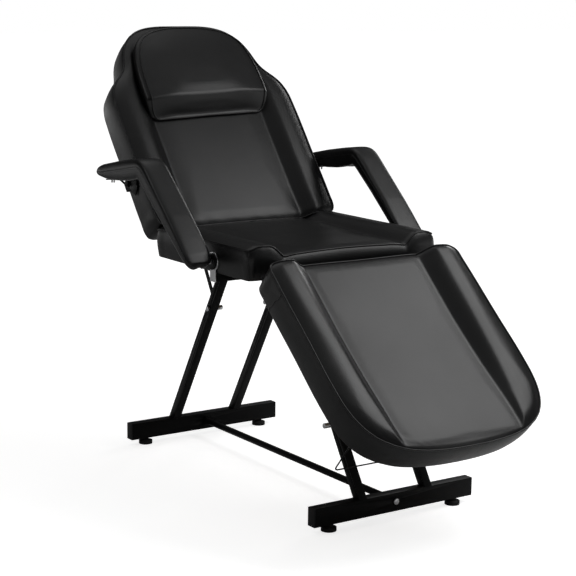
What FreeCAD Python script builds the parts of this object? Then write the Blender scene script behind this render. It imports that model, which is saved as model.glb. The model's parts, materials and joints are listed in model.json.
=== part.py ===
import FreeCAD, Part
import math
import os

# Tattoo chair: a three section bed on a welded tube stand, with hinged back and leg rest.
# Millimetres. +X to the foot end, +Y to the sitter's left, +Z up, floor at zero.

# Driving sizes of the whole chair
cushion_width = 610.0
seat_length = 498.0
back_length = 690.0
leg_length = 607.0
seat_underside_z = 620.0
back_angle = 52.3
leg_angle = 41.5
seat_edge_height = 80.0
back_thickness = 90.0
leg_thickness = 85.5

# Common clearances, walls and fasteners
fit_gap = 0.3
pin_clearance = 0.08
overrun = 5.0
tube_size = 25.0
tube_wall = 1.5
plate = 4.0
plate_gap = 0.5
bolt_radius = 4.0
bolt_head_radius = 7.0
bolt_head_height = 5.0
cap_wall = 3.0
cap_plug = 10.0

# Stand
bar_length = 515.0
bar_height = 50.0
bar_depth = 30.0
bar_wall = 2.0
foot_height = 19.0
foot_radius = 20.5
foot_neck_radius = 9.0
foot_neck_height = 5.0
foot_rim = 4.0
foot_y = 205.0
stud_radius = 4.0
stud_length = 30.0
insert_radius = 8.0
insert_height = 12.0
insert_flange = 2.0
leg_y = 107.5
front_leg_reach = 210.0
front_leg_slope = 0.625
front_bar_offset = 1.5
rear_leg_reach = 229.0
rear_leg_slope = 0.575
rear_bar_offset = 8.5
stretcher_z = 46.0
stretcher_radius = 9.5
stretcher_wall = 1.5
stretcher_bolt_radius = 4.0
stretcher_head_radius = 8.0
stretcher_head_height = 3.5

# Seat frame
frame_height = tube_size
rail_rear_x = -284.0
rail_overhang = 14.0
cross_front_inset = 38.0
cross_rear_inset = 49.0
arm_stub_x = 35.0
arm_stub_gap = 1.5

# Boards and screws
board_thickness = 12.0
board_inset = 20.0
back_board_head_inset = 95.0
back_board_side_inset = 114.0
leg_board_foot_inset = 80.0
leg_board_side_inset = 60.0
screw_head_radius = 6.0
screw_head_height = 2.5
screw_radius = 2.5
screw_length = 13.0
screw_row_share = 0.3

# Hinge of the back, seen from the side
back_hinge_setback = 13.0
back_hinge_rise = 22.0
back_corner_overhang = 23.0
back_corner_rise = 88.6
back_frame_start = 18.0
back_frame_end = 560.0
hinge_eye_radius = 12.0
lug_width = 24.0

# Hinge of the leg rest, seen from the side
leg_hinge_inset = 6.8
leg_hinge_drop = 16.0
leg_corner_reach = 15.5
leg_corner_rise = 10.3
leg_frame_start = 20.0
leg_frame_end = 470.0
outer_rail_y = 112.0

# Stays
back_pin_z = 446.0
back_stay_at = 310.0
back_stay_drop = 30.0
back_lower_length = 280.0
back_upper_length = 260.0
leg_peg_z = 243.0
leg_stay_at = 220.0
leg_stay_drop = 30.0
leg_lower_length = 195.0
leg_upper_length = 195.0
stay_width = 13.0
stay_pin_radius = 4.0
stay_collar_radius = 7.0
leg_peg_end_y = 148.0
notch_pitch = 18.0
notch_depth = 3.0
notch_count = 6

# Release bail of the leg rest
bail_wire_radius = 2.0
bail_rail_gap = 45.5
bail_foot_inset = 177.0
bail_drop = 9.0
bail_foot_z = 146.0
bail_gap = 0.9
bail_bend_radius = 14.0

# Armrests, seen from the side
arm_side_gap = 17.0
arm_width = 80.0
arm_tip_x = -458.0
arm_tip_z = 843.0
arm_bend_x = -206.0
arm_bend_z = 884.0
arm_foot_x = 62.0
arm_foot_z = 655.0
arm_bend_radius = 48.0
arm_bend_steps = 4
arm_edge_thickness = 29.0
arm_crown = 12.0
arm_pivot_z = 650.0
arm_eye_radius = 25.5
arm_plate_thickness = 3.5
arm_bar_width = 30.0
arm_bar_thickness = 6.0
arm_peg_x = -420.0
arm_peg_z = 812.0
arm_peg_radius = 5.0
arm_knob_radius = 9.0
arm_knob_length = 6.0
bracket_gap = 2.0
slide_travel = 59.0
slide_slack = 4.5
slide_wall = 6.0
slide_flange_length = 30.0

# Cushion form
bolster_width = 108.0
bolster_crown = 16.0
channel_depth = 12.0
side_draw = 9.0
side_bulge = 4.0
end_round = 9.0
channel_crown = 3.0

# Head pillow
pillow_start = 372.0
pillow_length = 300.0
pillow_side_inset = 109.0
pillow_seat_height = 12.0
pillow_edge_height = 27.0
pillow_crown_height = 15.0
pillow_gap = 0.5


class Side:
    """A side-view frame: origin and direction in XZ, s along the piece, t square to it, upwards."""

    def __init__(self, x, z, angle, forward=True):
        a = math.radians(angle)
        self.x = x
        self.z = z
        self.us = (math.cos(a), -math.sin(a)) if forward else (-math.cos(a), math.sin(a))
        self.ns = (math.sin(a), math.cos(a))

    def at(self, s, t):
        x = self.x + s * self.us[0] + t * self.ns[0]
        z = self.z + s * self.us[1] + t * self.ns[1]
        return x, z

    def point(self, s, y, t):
        x, z = self.at(s, t)
        return FreeCAD.Vector(x, y, z)

    def local(self, x, z):
        dx, dz = x - self.x, z - self.z
        return dx * self.us[0] + dz * self.us[1], dx * self.ns[0] + dz * self.ns[1]


half_width = cushion_width / 2
rail_front_x = rail_rear_x + seat_length + rail_overhang
seat_side = Side(rail_rear_x, seat_underside_z, 0.0)
back_hinge_x = rail_rear_x - back_hinge_setback
back_hinge_z = seat_underside_z + back_hinge_rise
back_side = Side(rail_rear_x + back_corner_overhang, seat_underside_z + back_corner_rise, back_angle,
                 forward=False)
leg_hinge_x = rail_front_x - leg_hinge_inset
leg_hinge_z = seat_underside_z - leg_hinge_drop
leg_side = Side(leg_hinge_x + leg_corner_reach, leg_hinge_z + leg_corner_rise, leg_angle)
y_axis = FreeCAD.Vector(0, 1, 0)
z_axis = FreeCAD.Vector(0, 0, 1)
nodes = {}


def across(corners, y0, y1):
    """A plate: a polygon given in XZ and carried from y0 to y1."""
    ring = [FreeCAD.Vector(x, y0, z) for x, z in corners]
    face = Part.Face(Part.makePolygon(ring + ring[:1]))
    return face.extrude(FreeCAD.Vector(0, y1 - y0, 0))


def pin(x, z, y0, y1, radius):
    """A round pin along Y."""
    low = min(y0, y1)
    return Part.makeCylinder(radius, abs(y1 - y0), FreeCAD.Vector(x, low, z), y_axis)


def block(side, s0, s1, t0, t1, y0, y1):
    """A straight block in a side frame."""
    corners = [side.at(s0, t0), side.at(s1, t0), side.at(s1, t1), side.at(s0, t1)]
    return across(corners, y0, y1)


def rail(side, s0, s1, t0, t1, y_centre):
    """A square tube along s."""
    y0, y1 = y_centre - tube_size / 2, y_centre + tube_size / 2
    outside = block(side, s0, s1, t0, t1, y0, y1)
    bore = block(side, s0 - overrun, s1 + overrun, t0 + tube_wall, t1 - tube_wall,
                 y0 + tube_wall, y1 - tube_wall)
    return outside.cut(bore)


def cross_tube(side, s_centre, t0, t1, y0, y1):
    """A square tube along Y."""
    s0, s1 = s_centre - tube_size / 2, s_centre + tube_size / 2
    outside = block(side, s0, s1, t0, t1, y0, y1)
    bore = block(side, s0 + tube_wall, s1 - tube_wall, t0 + tube_wall, t1 - tube_wall,
                 y0 - overrun, y1 + overrun)
    return outside.cut(bore)


def mirrored(shape):
    """The same solid on the other side of the chair."""
    return shape.mirror(FreeCAD.Vector(0, 0, 0), y_axis)


def pair(shape):
    """A left and a right copy as two solids of one group."""
    return [shape, mirrored(shape)]


def eye_bar(x0, z0, x1, z1, width, y0, y1, hole0, hole1):
    """A flat bar with a round eye at each end and a hole in each eye, where a hole size is given."""
    length = math.hypot(x1 - x0, z1 - z0)
    nx, nz = -(z1 - z0) / length * width / 2, (x1 - x0) / length * width / 2
    bar = across([(x0 + nx, z0 + nz), (x1 + nx, z1 + nz), (x1 - nx, z1 - nz), (x0 - nx, z0 - nz)],
                 y0, y1)
    bar = bar.fuse([pin(x0, z0, y0, y1, width / 2), pin(x1, z1, y0, y1, width / 2)])
    for x, z, radius in ((x0, z0, hole0), (x1, z1, hole1)):
        if radius:
            bar = bar.cut(pin(x, z, y0 - overrun, y1 + overrun, radius))
    return bar.removeSplitter()


def bolt(x, z, y0, y1, radius):
    """A through bolt along Y with a round head at y1 and a nut at y0, both outside the stretch."""
    step = bolt_head_height if y1 > y0 else -bolt_head_height
    shank = pin(x, z, y0, y1, radius)
    return shank.fuse([pin(x, z, y1, y1 + step, bolt_head_radius),
                       pin(x, z, y0 - step, y0, bolt_head_radius)]).removeSplitter()


def ring_wire(points):
    """A closed section of a cushion: bottom line, then arcs through the points in threes."""
    edges = [Part.LineSegment(points[0], points[1]).toShape()]
    for i in range(1, len(points) - 2, 2):
        edges.append(Part.Arc(points[i], points[i + 1], points[i + 2]).toShape())
    return Part.Wire(edges)


def cushion_ring(side, s, half, bottom, edge, crown, depth, bolster):
    """Section of a bolstered cushion at s: sides that bulge, two rolls and a shallow channel."""
    foot = half - side_draw
    roll_mid = half - bolster / 2
    roll_in = half - bolster
    floor = edge - depth
    middle = (bottom + edge) / 2
    rows = [(-foot, bottom), (foot, bottom), (half - side_draw / 2 + side_bulge, middle), (half, edge),
            (roll_mid, edge + crown), (roll_in, floor), (0.0, floor + channel_crown),
            (-roll_in, floor), (-roll_mid, edge + crown), (-half, edge),
            (-half + side_draw / 2 - side_bulge, middle), (-foot, bottom)]
    return ring_wire([side.point(s, y, t) for y, t in rows])


def cushion(side, rows, bottom, edge):
    """Loft through sections, each row giving place, half width and shares of height and crown."""
    rings = []
    for s, half, height_share, crown_share, depth_share in rows:
        middle = (bottom + edge) / 2
        low = middle + (bottom - middle) * height_share
        high = middle + (edge - middle) * height_share
        rings.append(cushion_ring(side, s, half, low, high, bolster_crown * crown_share,
                                  channel_depth * depth_share, bolster_width * half / half_width))
    return Part.makeLoft(rings, True, True)


def board_pocket(side, s0, s1, bottom, half):
    """The recess under a cushion that its board fills."""
    return block(side, s0 - fit_gap, s1 + fit_gap, bottom - overrun,
                 bottom + board_thickness + fit_gap, -half - fit_gap, half + fit_gap)


def screw_set(side, places, t_head):
    """Pan head screws driven up into a board, heads below the frame face they hold."""
    solids = []
    for s, y in places:
        up = FreeCAD.Vector(side.ns[0], 0, side.ns[1])
        head = Part.makeCylinder(screw_head_radius, screw_head_height,
                                 side.point(s, y, t_head - screw_head_height), up)
        shank = Part.makeCylinder(screw_radius, screw_length, side.point(s, y, t_head), up)
        solids.append(head.fuse(shank).removeSplitter())
    return solids


def drill(solid, side, places, radius, t0, t1):
    """Holes square to a side frame, from t0 to t1."""
    up = FreeCAD.Vector(side.ns[0], 0, side.ns[1])
    tools = [Part.makeCylinder(radius, t1 - t0, side.point(s, y, t0), up) for s, y in places]
    return solid.cut(tools)


# Floor bars with feet, under the ends of the slanted legs
bar_low = foot_height
bar_top = foot_height + bar_height
front_leg_foot_x = rail_front_x + front_leg_reach
rear_leg_foot_x = rail_rear_x - rear_leg_reach
front_bar_x = front_leg_foot_x - front_bar_offset
rear_bar_x = rear_leg_foot_x - rear_bar_offset


def floor_bar(x_centre):
    """Rectangular tube across the chair, with holes for foot inserts and the stretcher bolt."""
    y0 = -bar_length / 2
    outer = Part.makeBox(bar_depth, bar_length, bar_height,
                         FreeCAD.Vector(x_centre - bar_depth / 2, y0, bar_low))
    inner = Part.makeBox(bar_depth - 2 * bar_wall, bar_length + 2 * overrun, bar_height - 2 * bar_wall,
                         FreeCAD.Vector(x_centre - bar_depth / 2 + bar_wall, y0 - overrun,
                                        bar_low + bar_wall))
    bar = outer.cut(inner)
    for y in (-foot_y, foot_y):
        hole = Part.makeCylinder(insert_radius + pin_clearance, bar_wall + 2 * overrun,
                                 FreeCAD.Vector(x_centre, y, bar_low - overrun), z_axis)
        bar = bar.cut(hole)
    through = Part.makeCylinder(stretcher_bolt_radius + pin_clearance, bar_depth + 2 * overrun,
                                FreeCAD.Vector(x_centre - bar_depth / 2 - overrun, 0, stretcher_z),
                                FreeCAD.Vector(1, 0, 0))
    return bar.cut(through)


def foot_insert(x, y):
    """Threaded socket pressed into the bar's floor, flange inside the tube."""
    base = bar_low + bar_wall
    body = Part.makeCylinder(insert_radius, bar_wall, FreeCAD.Vector(x, y, bar_low), z_axis)
    top = Part.makeCylinder(insert_radius + insert_flange, insert_height,
                            FreeCAD.Vector(x, y, base), z_axis)
    bore = Part.makeCylinder(stud_radius + pin_clearance, insert_height + bar_wall + 2 * overrun,
                             FreeCAD.Vector(x, y, bar_low - overrun), z_axis)
    return body.fuse(top).cut(bore).removeSplitter()


def foot(x, y):
    """Levelling foot: a moulded pad, a neck and a stud up into the insert."""
    pad_height = foot_height - foot_neck_height
    pad = Part.makeCylinder(foot_radius, pad_height - foot_rim, FreeCAD.Vector(x, y, 0), z_axis)
    shoulder = Part.makeCone(foot_radius, foot_neck_radius, foot_rim,
                             FreeCAD.Vector(x, y, pad_height - foot_rim), z_axis)
    neck = Part.makeCylinder(foot_neck_radius, foot_neck_height - fit_gap,
                             FreeCAD.Vector(x, y, pad_height), z_axis)
    stud = Part.makeCylinder(stud_radius, stud_length, FreeCAD.Vector(x, y, pad_height), z_axis)
    return pad.fuse([shoulder, neck, stud]).removeSplitter()


def bar_cap(x_centre, sign):
    """Plastic plug closing one end of a floor bar."""
    y_end = sign * bar_length / 2
    face_low = min(y_end, y_end + sign * cap_wall)
    face = Part.makeBox(bar_depth, cap_wall, bar_height,
                        FreeCAD.Vector(x_centre - bar_depth / 2, face_low, bar_low))
    inner_low = min(y_end, y_end - sign * cap_plug)
    plug = Part.makeBox(bar_depth - 2 * bar_wall - 2 * fit_gap, cap_plug,
                        bar_height - 2 * bar_wall - 2 * fit_gap,
                        FreeCAD.Vector(x_centre - bar_depth / 2 + bar_wall + fit_gap, inner_low,
                                       bar_low + bar_wall + fit_gap))
    return face.fuse(plug).removeSplitter()


nodes["front_floor_bar"] = [floor_bar(front_bar_x)]
nodes["rear_floor_bar"] = [floor_bar(rear_bar_x)]
nodes["floor_bar_caps"] = [bar_cap(x, sign) for x in (front_bar_x, rear_bar_x) for sign in (-1, 1)]
nodes["foot_inserts"] = [foot_insert(x, y) for x in (front_bar_x, rear_bar_x) for y in (-foot_y, foot_y)]
for end, bar_x in (("front", front_bar_x), ("rear", rear_bar_x)):
    for hand, y in (("left", foot_y), ("right", -foot_y)):
        nodes["levelling_foot_" + end + "_" + hand] = [foot(bar_x, y)]

# Stretcher between the bars, and its two bolts
stretcher_x0 = rear_bar_x + bar_depth / 2
stretcher_x1 = front_bar_x - bar_depth / 2
x_dir = FreeCAD.Vector(1, 0, 0)


def stretcher_part(radius, x0, x1):
    return Part.makeCylinder(radius, x1 - x0, FreeCAD.Vector(x0, 0, stretcher_z), x_dir)


tube = stretcher_part(stretcher_radius, stretcher_x0, stretcher_x1)
tube = tube.cut(stretcher_part(stretcher_radius - stretcher_wall, stretcher_x0 + cap_plug,
                               stretcher_x1 - cap_plug))
bolt_reach = cap_plug - fit_gap
socket = stretcher_bolt_radius + pin_clearance
for x0 in (stretcher_x0 - overrun, stretcher_x1 - cap_plug - overrun):
    tube = tube.cut(stretcher_part(socket, x0, x0 + cap_plug + 2 * overrun))
nodes["stretcher_tube"] = [tube]
front_face = front_bar_x + bar_depth / 2
rear_face = rear_bar_x - bar_depth / 2
front_bolt = stretcher_part(stretcher_bolt_radius, stretcher_x1 - bolt_reach, front_face)
front_head = stretcher_part(stretcher_head_radius, front_face, front_face + stretcher_head_height)
rear_bolt = stretcher_part(stretcher_bolt_radius, rear_face, stretcher_x0 + bolt_reach)
rear_head = stretcher_part(stretcher_head_radius, rear_face - stretcher_head_height, rear_face)
nodes["stretcher_bolts"] = [front_bolt.fuse(front_head).removeSplitter(),
                            rear_bolt.fuse(rear_head).removeSplitter()]

# Legs, welded between the floor bars and the seat rails
frame_low = seat_underside_z - frame_height


def leg_x(foot_x, slope, z):
    return foot_x - slope * (z - bar_top)


def slanted_leg(foot_x, slope):
    """Square tube in the side view, cut level at both ends."""
    wide = tube_size / math.cos(math.atan(slope))
    wall = tube_wall / math.cos(math.atan(slope))
    shapes = []
    for inset, y_inset, extra in ((0.0, 0.0, 0.0), (wall, tube_wall, overrun)):
        z0, z1 = bar_top - extra, frame_low + extra
        x0, x1 = leg_x(foot_x, slope, z0), leg_x(foot_x, slope, z1)
        half = wide / 2 - inset
        corners = [(x0 - half, z0), (x0 + half, z0), (x1 + half, z1), (x1 - half, z1)]
        shapes.append(across(corners, leg_y - tube_size / 2 + y_inset, leg_y + tube_size / 2 - y_inset))
    return shapes[0].cut(shapes[1])


stay_hole = stay_pin_radius + pin_clearance
leg_peg_x = leg_x(front_leg_foot_x, front_leg_slope, leg_peg_z)
back_pin_x = leg_x(rear_leg_foot_x, -rear_leg_slope, back_pin_z)
back_pin_hole = pin(back_pin_x, back_pin_z, leg_y - tube_size, leg_y + tube_size, stay_hole)
leg_peg_hole = pin(leg_peg_x, leg_peg_z, leg_y - tube_size, leg_y + tube_size, stay_hole)
front_leg = slanted_leg(front_leg_foot_x, front_leg_slope).cut(leg_peg_hole)
rear_leg = slanted_leg(rear_leg_foot_x, -rear_leg_slope).cut(back_pin_hole)
nodes["front_leg_left"] = [front_leg]
nodes["front_leg_right"] = [mirrored(front_leg)]
nodes["rear_leg_left"] = [rear_leg]
nodes["rear_leg_right"] = [mirrored(rear_leg)]

# Seat frame: two rails, cross tubes between them, short tubes out to the armrests
rail_length = rail_front_x - rail_rear_x
nodes["seat_rails"] = pair(rail(seat_side, 0, rail_length, -frame_height, 0, leg_y))
inner_face = leg_y - tube_size / 2
outer_face = leg_y + tube_size / 2
nodes["seat_cross_tubes"] = [cross_tube(seat_side, x - rail_rear_x, -frame_height, 0, -inner_face,
                                        inner_face)
                             for x in (rail_front_x - cross_front_inset, rail_rear_x + cross_rear_inset)]
arm_stub_end_y = half_width + arm_stub_gap
nodes["arm_stub_tubes"] = pair(cross_tube(seat_side, arm_stub_x - rail_rear_x, -frame_height, 0,
                                          outer_face, arm_stub_end_y))
plug_half = tube_size / 2 - tube_wall - fit_gap


def rail_plug(s_end, outward):
    """Plastic plug in an open end of a seat rail: a lip over the wall and a body inside it."""
    mid = -frame_height / 2
    lip = block(seat_side, s_end, s_end + outward * cap_wall, -frame_height, 0, inner_face, outer_face)
    body = block(seat_side, s_end, s_end - outward * cap_plug, mid - plug_half, mid + plug_half,
                 leg_y - plug_half, leg_y + plug_half)
    return lip.fuse(body).removeSplitter()


nodes["rail_end_caps"] = pair(rail_plug(0.0, -1)) + pair(rail_plug(rail_length, 1))

# Hinge plates welded to the outer faces of the seat rails
hinge_hole = bolt_radius + pin_clearance
plate_y0 = outer_face
plate_y1 = outer_face + plate
lug_y0 = outer_rail_y + tube_size / 2
lug_y1 = lug_y0 + plate


plate_reach = 3 * tube_size


def hinge_plate(x, z, reach, base_top):
    """Plate along the rail with a round eye around the hinge axis."""
    edge = x + math.copysign(hinge_eye_radius, reach)
    parts = [across([(x, frame_low), (x + reach, frame_low), (x + reach, base_top), (x, base_top)],
                    plate_y0, plate_y1),
             across([(2 * x - edge, z), (2 * x - edge, frame_low), (edge, frame_low), (edge, z)],
                    plate_y0, plate_y1)]
    hole = pin(x, z, plate_y0 - overrun, plate_y1 + overrun, hinge_hole)
    eye = pin(x, z, plate_y0, plate_y1, hinge_eye_radius)
    return eye.fuse(parts).cut(hole).removeSplitter()


nodes["back_hinge_plates"] = pair(hinge_plate(back_hinge_x, back_hinge_z, plate_reach, seat_underside_z))
nodes["leg_hinge_plates"] = pair(hinge_plate(leg_hinge_x, leg_hinge_z, -plate_reach,
                                             seat_underside_z - hinge_eye_radius / 2))

# Seat board, screws and cushion
seat_board_half = half_width - board_inset
screw_s0 = board_inset + screw_row_share * seat_length
rail_screws = [(s, y) for s in (screw_s0, seat_length - screw_s0 + board_inset) for y in (-leg_y, leg_y)]
seat_board = block(seat_side, board_inset, seat_length - board_inset, 0, board_thickness,
                   -seat_board_half, seat_board_half)
screw_hole = screw_radius + pin_clearance
head_hole = screw_head_radius + fit_gap
nodes["seat_board"] = [drill(seat_board, seat_side, rail_screws, screw_hole, -overrun,
                             board_thickness + overrun)]


def screwed_rails(solids, side, places, low, high):
    """Rails with a shank hole through the wall under the board and a driver hole below it."""
    done = []
    for solid in solids:
        solid = drill(solid, side, places, screw_hole, high - tube_wall - overrun, high + overrun)
        done.append(drill(solid, side, places, head_hole, low - overrun, low + tube_wall + overrun))
    return done


nodes["seat_rails"] = screwed_rails(nodes["seat_rails"], seat_side, rail_screws, -frame_height, 0)
nodes["seat_board_screws"] = screw_set(seat_side, rail_screws, -tube_wall)


def cushion_rows(length, shares):
    """Sections from shares: along, end rounds added, width, rounds drawn in, height, crown, channel."""
    return [(length * along + end_round * rounds, half_width * wide - end_round * drawn, high, crown, deep)
            for along, rounds, wide, drawn, high, crown, deep in shares]


seat_shares = [
    (0, 0, 1, 1, 0.6, 0.1, 0.3), (0, 1, 1, 0.6, 0.8, 0.25, 0.6), (0, 2, 1, 0.3, 0.9, 0.4, 0.8),
    (0, 3.5, 1, 0, 1, 0.75, 0.9), (0.25, 0, 1, 0, 1, 1, 1), (0.75, 0, 1, 0, 1, 1, 1),
    (1, -5, 1, 0, 1, 0.9, 0.9), (1, -2, 1, 0, 0.98, 0.6, 0.6), (1, -0.5, 1, 0.3, 0.9, 0.3, 0.3),
    (1, 0, 1, 1, 0.78, 0.1, 0.1)]
seat_cushion = cushion(seat_side, cushion_rows(seat_length, seat_shares), 0.0, seat_edge_height)
seat_pocket = board_pocket(seat_side, board_inset, seat_length - board_inset, 0, seat_board_half)
nodes["seat_cushion"] = [seat_cushion.cut(seat_pocket)]

# Back frame, board and cushion. The cushion's edge plane is t = 0 in back_side
back_under = -back_thickness
frame_top = back_under
frame_bottom = back_under - tube_size
back_rail = rail(back_side, back_frame_start, back_frame_end, frame_bottom, frame_top, outer_rail_y)
back_screws = [(s, y) for s in (back_frame_start + 3 * tube_size, back_frame_end - 3 * tube_size)
               for y in (-outer_rail_y, outer_rail_y)]
nodes["back_rails"] = screwed_rails(pair(back_rail), back_side, back_screws, frame_bottom, frame_top)
rail_inner = outer_rail_y - tube_size / 2
nodes["back_cross_tubes"] = [cross_tube(back_side, s, frame_bottom, frame_top, -rail_inner, rail_inner)
                             for s in (back_frame_start + 2 * tube_size, back_frame_end - tube_size)]
back_board_end = back_length - back_board_head_inset
back_board_half = half_width - back_board_side_inset
back_board = block(back_side, board_inset, back_board_end, back_under,
                   back_under + board_thickness, -back_board_half, back_board_half)
nodes["back_board"] = [drill(back_board, back_side, back_screws, screw_hole, back_under - overrun,
                             back_under + board_thickness + overrun)]
nodes["back_board_screws"] = screw_set(back_side, back_screws, frame_top - tube_wall)


def lug(side, hinge_x, hinge_z, s_end, t0, t1, y0, y1):
    """Plate welded to a frame rail, reaching round to the hinge axis with an eye."""
    hs, ht = side.local(hinge_x, hinge_z)
    arm = block(side, hs - hinge_eye_radius, s_end, t0, t1, y0, y1)
    stem = block(side, hs - hinge_eye_radius, hs + hinge_eye_radius, min(ht, t0), max(ht, t0), y0, y1)
    eye = pin(hinge_x, hinge_z, y0, y1, hinge_eye_radius)
    hole = pin(hinge_x, hinge_z, y0 - overrun, y1 + overrun, hinge_hole)
    return arm.fuse([stem, eye]).cut(hole).removeSplitter()


nodes["back_hinge_lugs"] = pair(lug(back_side, back_hinge_x, back_hinge_z, back_frame_start + plate_reach,
                                    frame_bottom, frame_top - fit_gap, lug_y0, lug_y1))
shoulder_shares = [
    (0, 0, 1, 1, 0.75, 0.2, 0.3), (0, 1, 1, 0.3, 0.95, 0.5, 0.6), (0, 3, 1, 0, 1, 0.9, 1),
    (0.3, 0, 1, 0, 1, 1, 1), (0.57, 0, 1, 0, 1, 1, 1), (0.645, 0, 0.975, 0, 1, 0.9, 1),
    (0.69, 0, 0.91, 0, 1, 0.7, 0.9), (0.735, 0, 0.81, 0, 1, 0.5, 0.7), (0.79, 0, 0.72, 0, 1, 0.45, 0.6),
    (0.87, 0, 0.67, 0, 1, 0.45, 0.5), (0.925, 0, 0.625, 0, 1, 0.4, 0.4),
    (0.965, 0, 0.545, 0, 0.98, 0.3, 0.3), (0.988, 0, 0.445, 0, 0.92, 0.2, 0.2),
    (1, 0, 0.34, 0, 0.78, 0.1, 0.1)]
back_cushion = cushion(back_side, cushion_rows(back_length, shoulder_shares), back_under, 0.0)
back_pocket = board_pocket(back_side, board_inset, back_board_end, back_under, back_board_half)
nodes["back_cushion"] = [back_cushion.cut(back_pocket)]

# Leg rest frame, board and cushion. The underside is t = 0 in leg_side
leg_rail = rail(leg_side, leg_frame_start, leg_frame_end, -tube_size, 0, outer_rail_y)
leg_screws = [(s, y) for s in (leg_frame_start + 4 * tube_size, leg_frame_end - 3 * tube_size)
              for y in (-outer_rail_y, outer_rail_y)]
nodes["leg_rails"] = screwed_rails(pair(leg_rail), leg_side, leg_screws, -tube_size, 0)
nodes["leg_cross_tubes"] = [cross_tube(leg_side, s, -tube_size, 0, -rail_inner, rail_inner)
                            for s in (leg_frame_start + 2 * tube_size, leg_frame_end - tube_size)]
leg_board_end = leg_length - leg_board_foot_inset
leg_board_half = half_width - leg_board_side_inset
leg_board = block(leg_side, board_inset, leg_board_end, 0, board_thickness, -leg_board_half, leg_board_half)
nodes["leg_board"] = [drill(leg_board, leg_side, leg_screws, screw_hole, -overrun,
                            board_thickness + overrun)]
nodes["leg_board_screws"] = screw_set(leg_side, leg_screws, -tube_wall)
nodes["leg_hinge_lugs"] = pair(lug(leg_side, leg_hinge_x, leg_hinge_z, leg_frame_start + plate_reach,
                                   -tube_size, -fit_gap, lug_y0, lug_y1))
foot_shares = [
    (0, 0, 1, 1, 0.75, 0.2, 0.3), (0, 1, 1, 0.3, 0.95, 0.5, 0.7), (0, 3, 1, 0, 1, 0.9, 1),
    (0.4, 0, 1, 0, 1, 1, 1), (0.66, 0, 1, 0, 1, 1, 0.9), (0.76, 0, 0.98, 0, 1, 0.9, 0.5),
    (0.84, 0, 0.94, 0, 1, 0.7, 0.1), (0.9, 0, 0.88, 0, 1, 0.5, -0.1), (0.95, 0, 0.8, 0, 0.98, 0.35, -0.1),
    (0.98, 0, 0.72, 0, 0.93, 0.2, -0.05), (1, 0, 0.63, 0, 0.76, 0.1, 0)]
leg_cushion = cushion(leg_side, cushion_rows(leg_length, foot_shares), 0.0, leg_thickness)
leg_pocket = board_pocket(leg_side, board_inset, leg_board_end, 0, leg_board_half)
nodes["leg_cushion"] = [leg_cushion.cut(leg_pocket)]

# Stays: pivots on the legs and under the boards, the two members of a stay side by side
member_step = plate + plate_gap
back_lower_y = inner_face - member_step
back_upper_y = back_lower_y - member_step
back_bracket_y = back_upper_y - member_step
leg_lower_y = lug_y0 + plate_gap
leg_upper_y = leg_lower_y + member_step
leg_bracket_y = leg_upper_y + member_step
back_top_s, back_top_t = back_stay_at, back_under - back_stay_drop
back_top_x, back_top_z = back_side.at(back_top_s, back_top_t)
leg_top_x, leg_top_z = leg_side.at(leg_stay_at, -leg_stay_drop)


def stay_member(x0, z0, x1, z1, length, y0, notches):
    """Flat member from its pivot at x0, z0 towards x1, z1, toothed along one edge."""
    full = math.hypot(x1 - x0, z1 - z0)
    ux, uz = (x1 - x0) / full, (z1 - z0) / full
    reach = length - stay_width / 2
    bar = eye_bar(x0, z0, x0 + ux * reach, z0 + uz * reach, stay_width, y0, y0 + plate, stay_hole, 0)
    for i in range(notches):
        along = reach - (i + 1) * notch_pitch
        px = x0 + ux * along - uz * (stay_width / 2)
        pz = z0 + uz * along + ux * (stay_width / 2)
        bar = bar.cut(pin(px, pz, y0 - overrun, y0 + plate + overrun, notch_depth))
    return bar


nodes["back_stay_lowers"] = pair(stay_member(back_pin_x, back_pin_z, back_top_x, back_top_z,
                                             back_lower_length, back_lower_y, notch_count))
nodes["back_stay_uppers"] = pair(stay_member(back_top_x, back_top_z, back_pin_x, back_pin_z,
                                             back_upper_length, back_upper_y, 0))
nodes["leg_stay_lowers"] = pair(stay_member(leg_peg_x, leg_peg_z, leg_top_x, leg_top_z,
                                            leg_lower_length, leg_lower_y, notch_count))
nodes["leg_stay_uppers"] = pair(stay_member(leg_top_x, leg_top_z, leg_peg_x, leg_peg_z,
                                            leg_upper_length, leg_upper_y, 0))

# Pins through the legs: the back pair ends in a cap nut inside, the leg pair in a long peg outside
back_nut_end = back_lower_y - 4 * plate
back_pin = pin(back_pin_x, back_pin_z, back_nut_end, outer_face, stay_pin_radius)
back_pin = back_pin.fuse([pin(back_pin_x, back_pin_z, outer_face, outer_face + bolt_head_height,
                              stay_collar_radius),
                          pin(back_pin_x, back_pin_z, back_nut_end, back_lower_y - plate_gap,
                              stay_collar_radius)])
nodes["back_stay_pins"] = pair(back_pin.removeSplitter())
leg_peg = pin(leg_peg_x, leg_peg_z, inner_face, leg_peg_end_y, stay_pin_radius)
leg_peg = leg_peg.fuse([pin(leg_peg_x, leg_peg_z, inner_face - bolt_head_height, inner_face,
                            stay_collar_radius),
                        pin(leg_peg_x, leg_peg_z, leg_upper_y, leg_peg_end_y, stay_collar_radius)])
nodes["leg_stay_pegs"] = pair(leg_peg.removeSplitter())


def stay_bracket(side, s, t_base, drop, y0, y_far):
    """Angle bracket under a board: a plate with the pivot hole and a foot flange out to y_far."""
    x, z = side.at(s, t_base - drop)
    wall = block(side, s - hinge_eye_radius, s + hinge_eye_radius, t_base - drop, t_base, y0, y0 + plate)
    eye = pin(x, z, y0, y0 + plate, hinge_eye_radius)
    flange = block(side, s - lug_width, s + lug_width, t_base - cap_wall, t_base, min(y0, y_far),
                   max(y0 + plate, y_far))
    hole = pin(x, z, y0 - overrun, y0 + plate + overrun, stay_hole)
    return wall.fuse([eye, flange]).cut(hole).removeSplitter()


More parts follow.
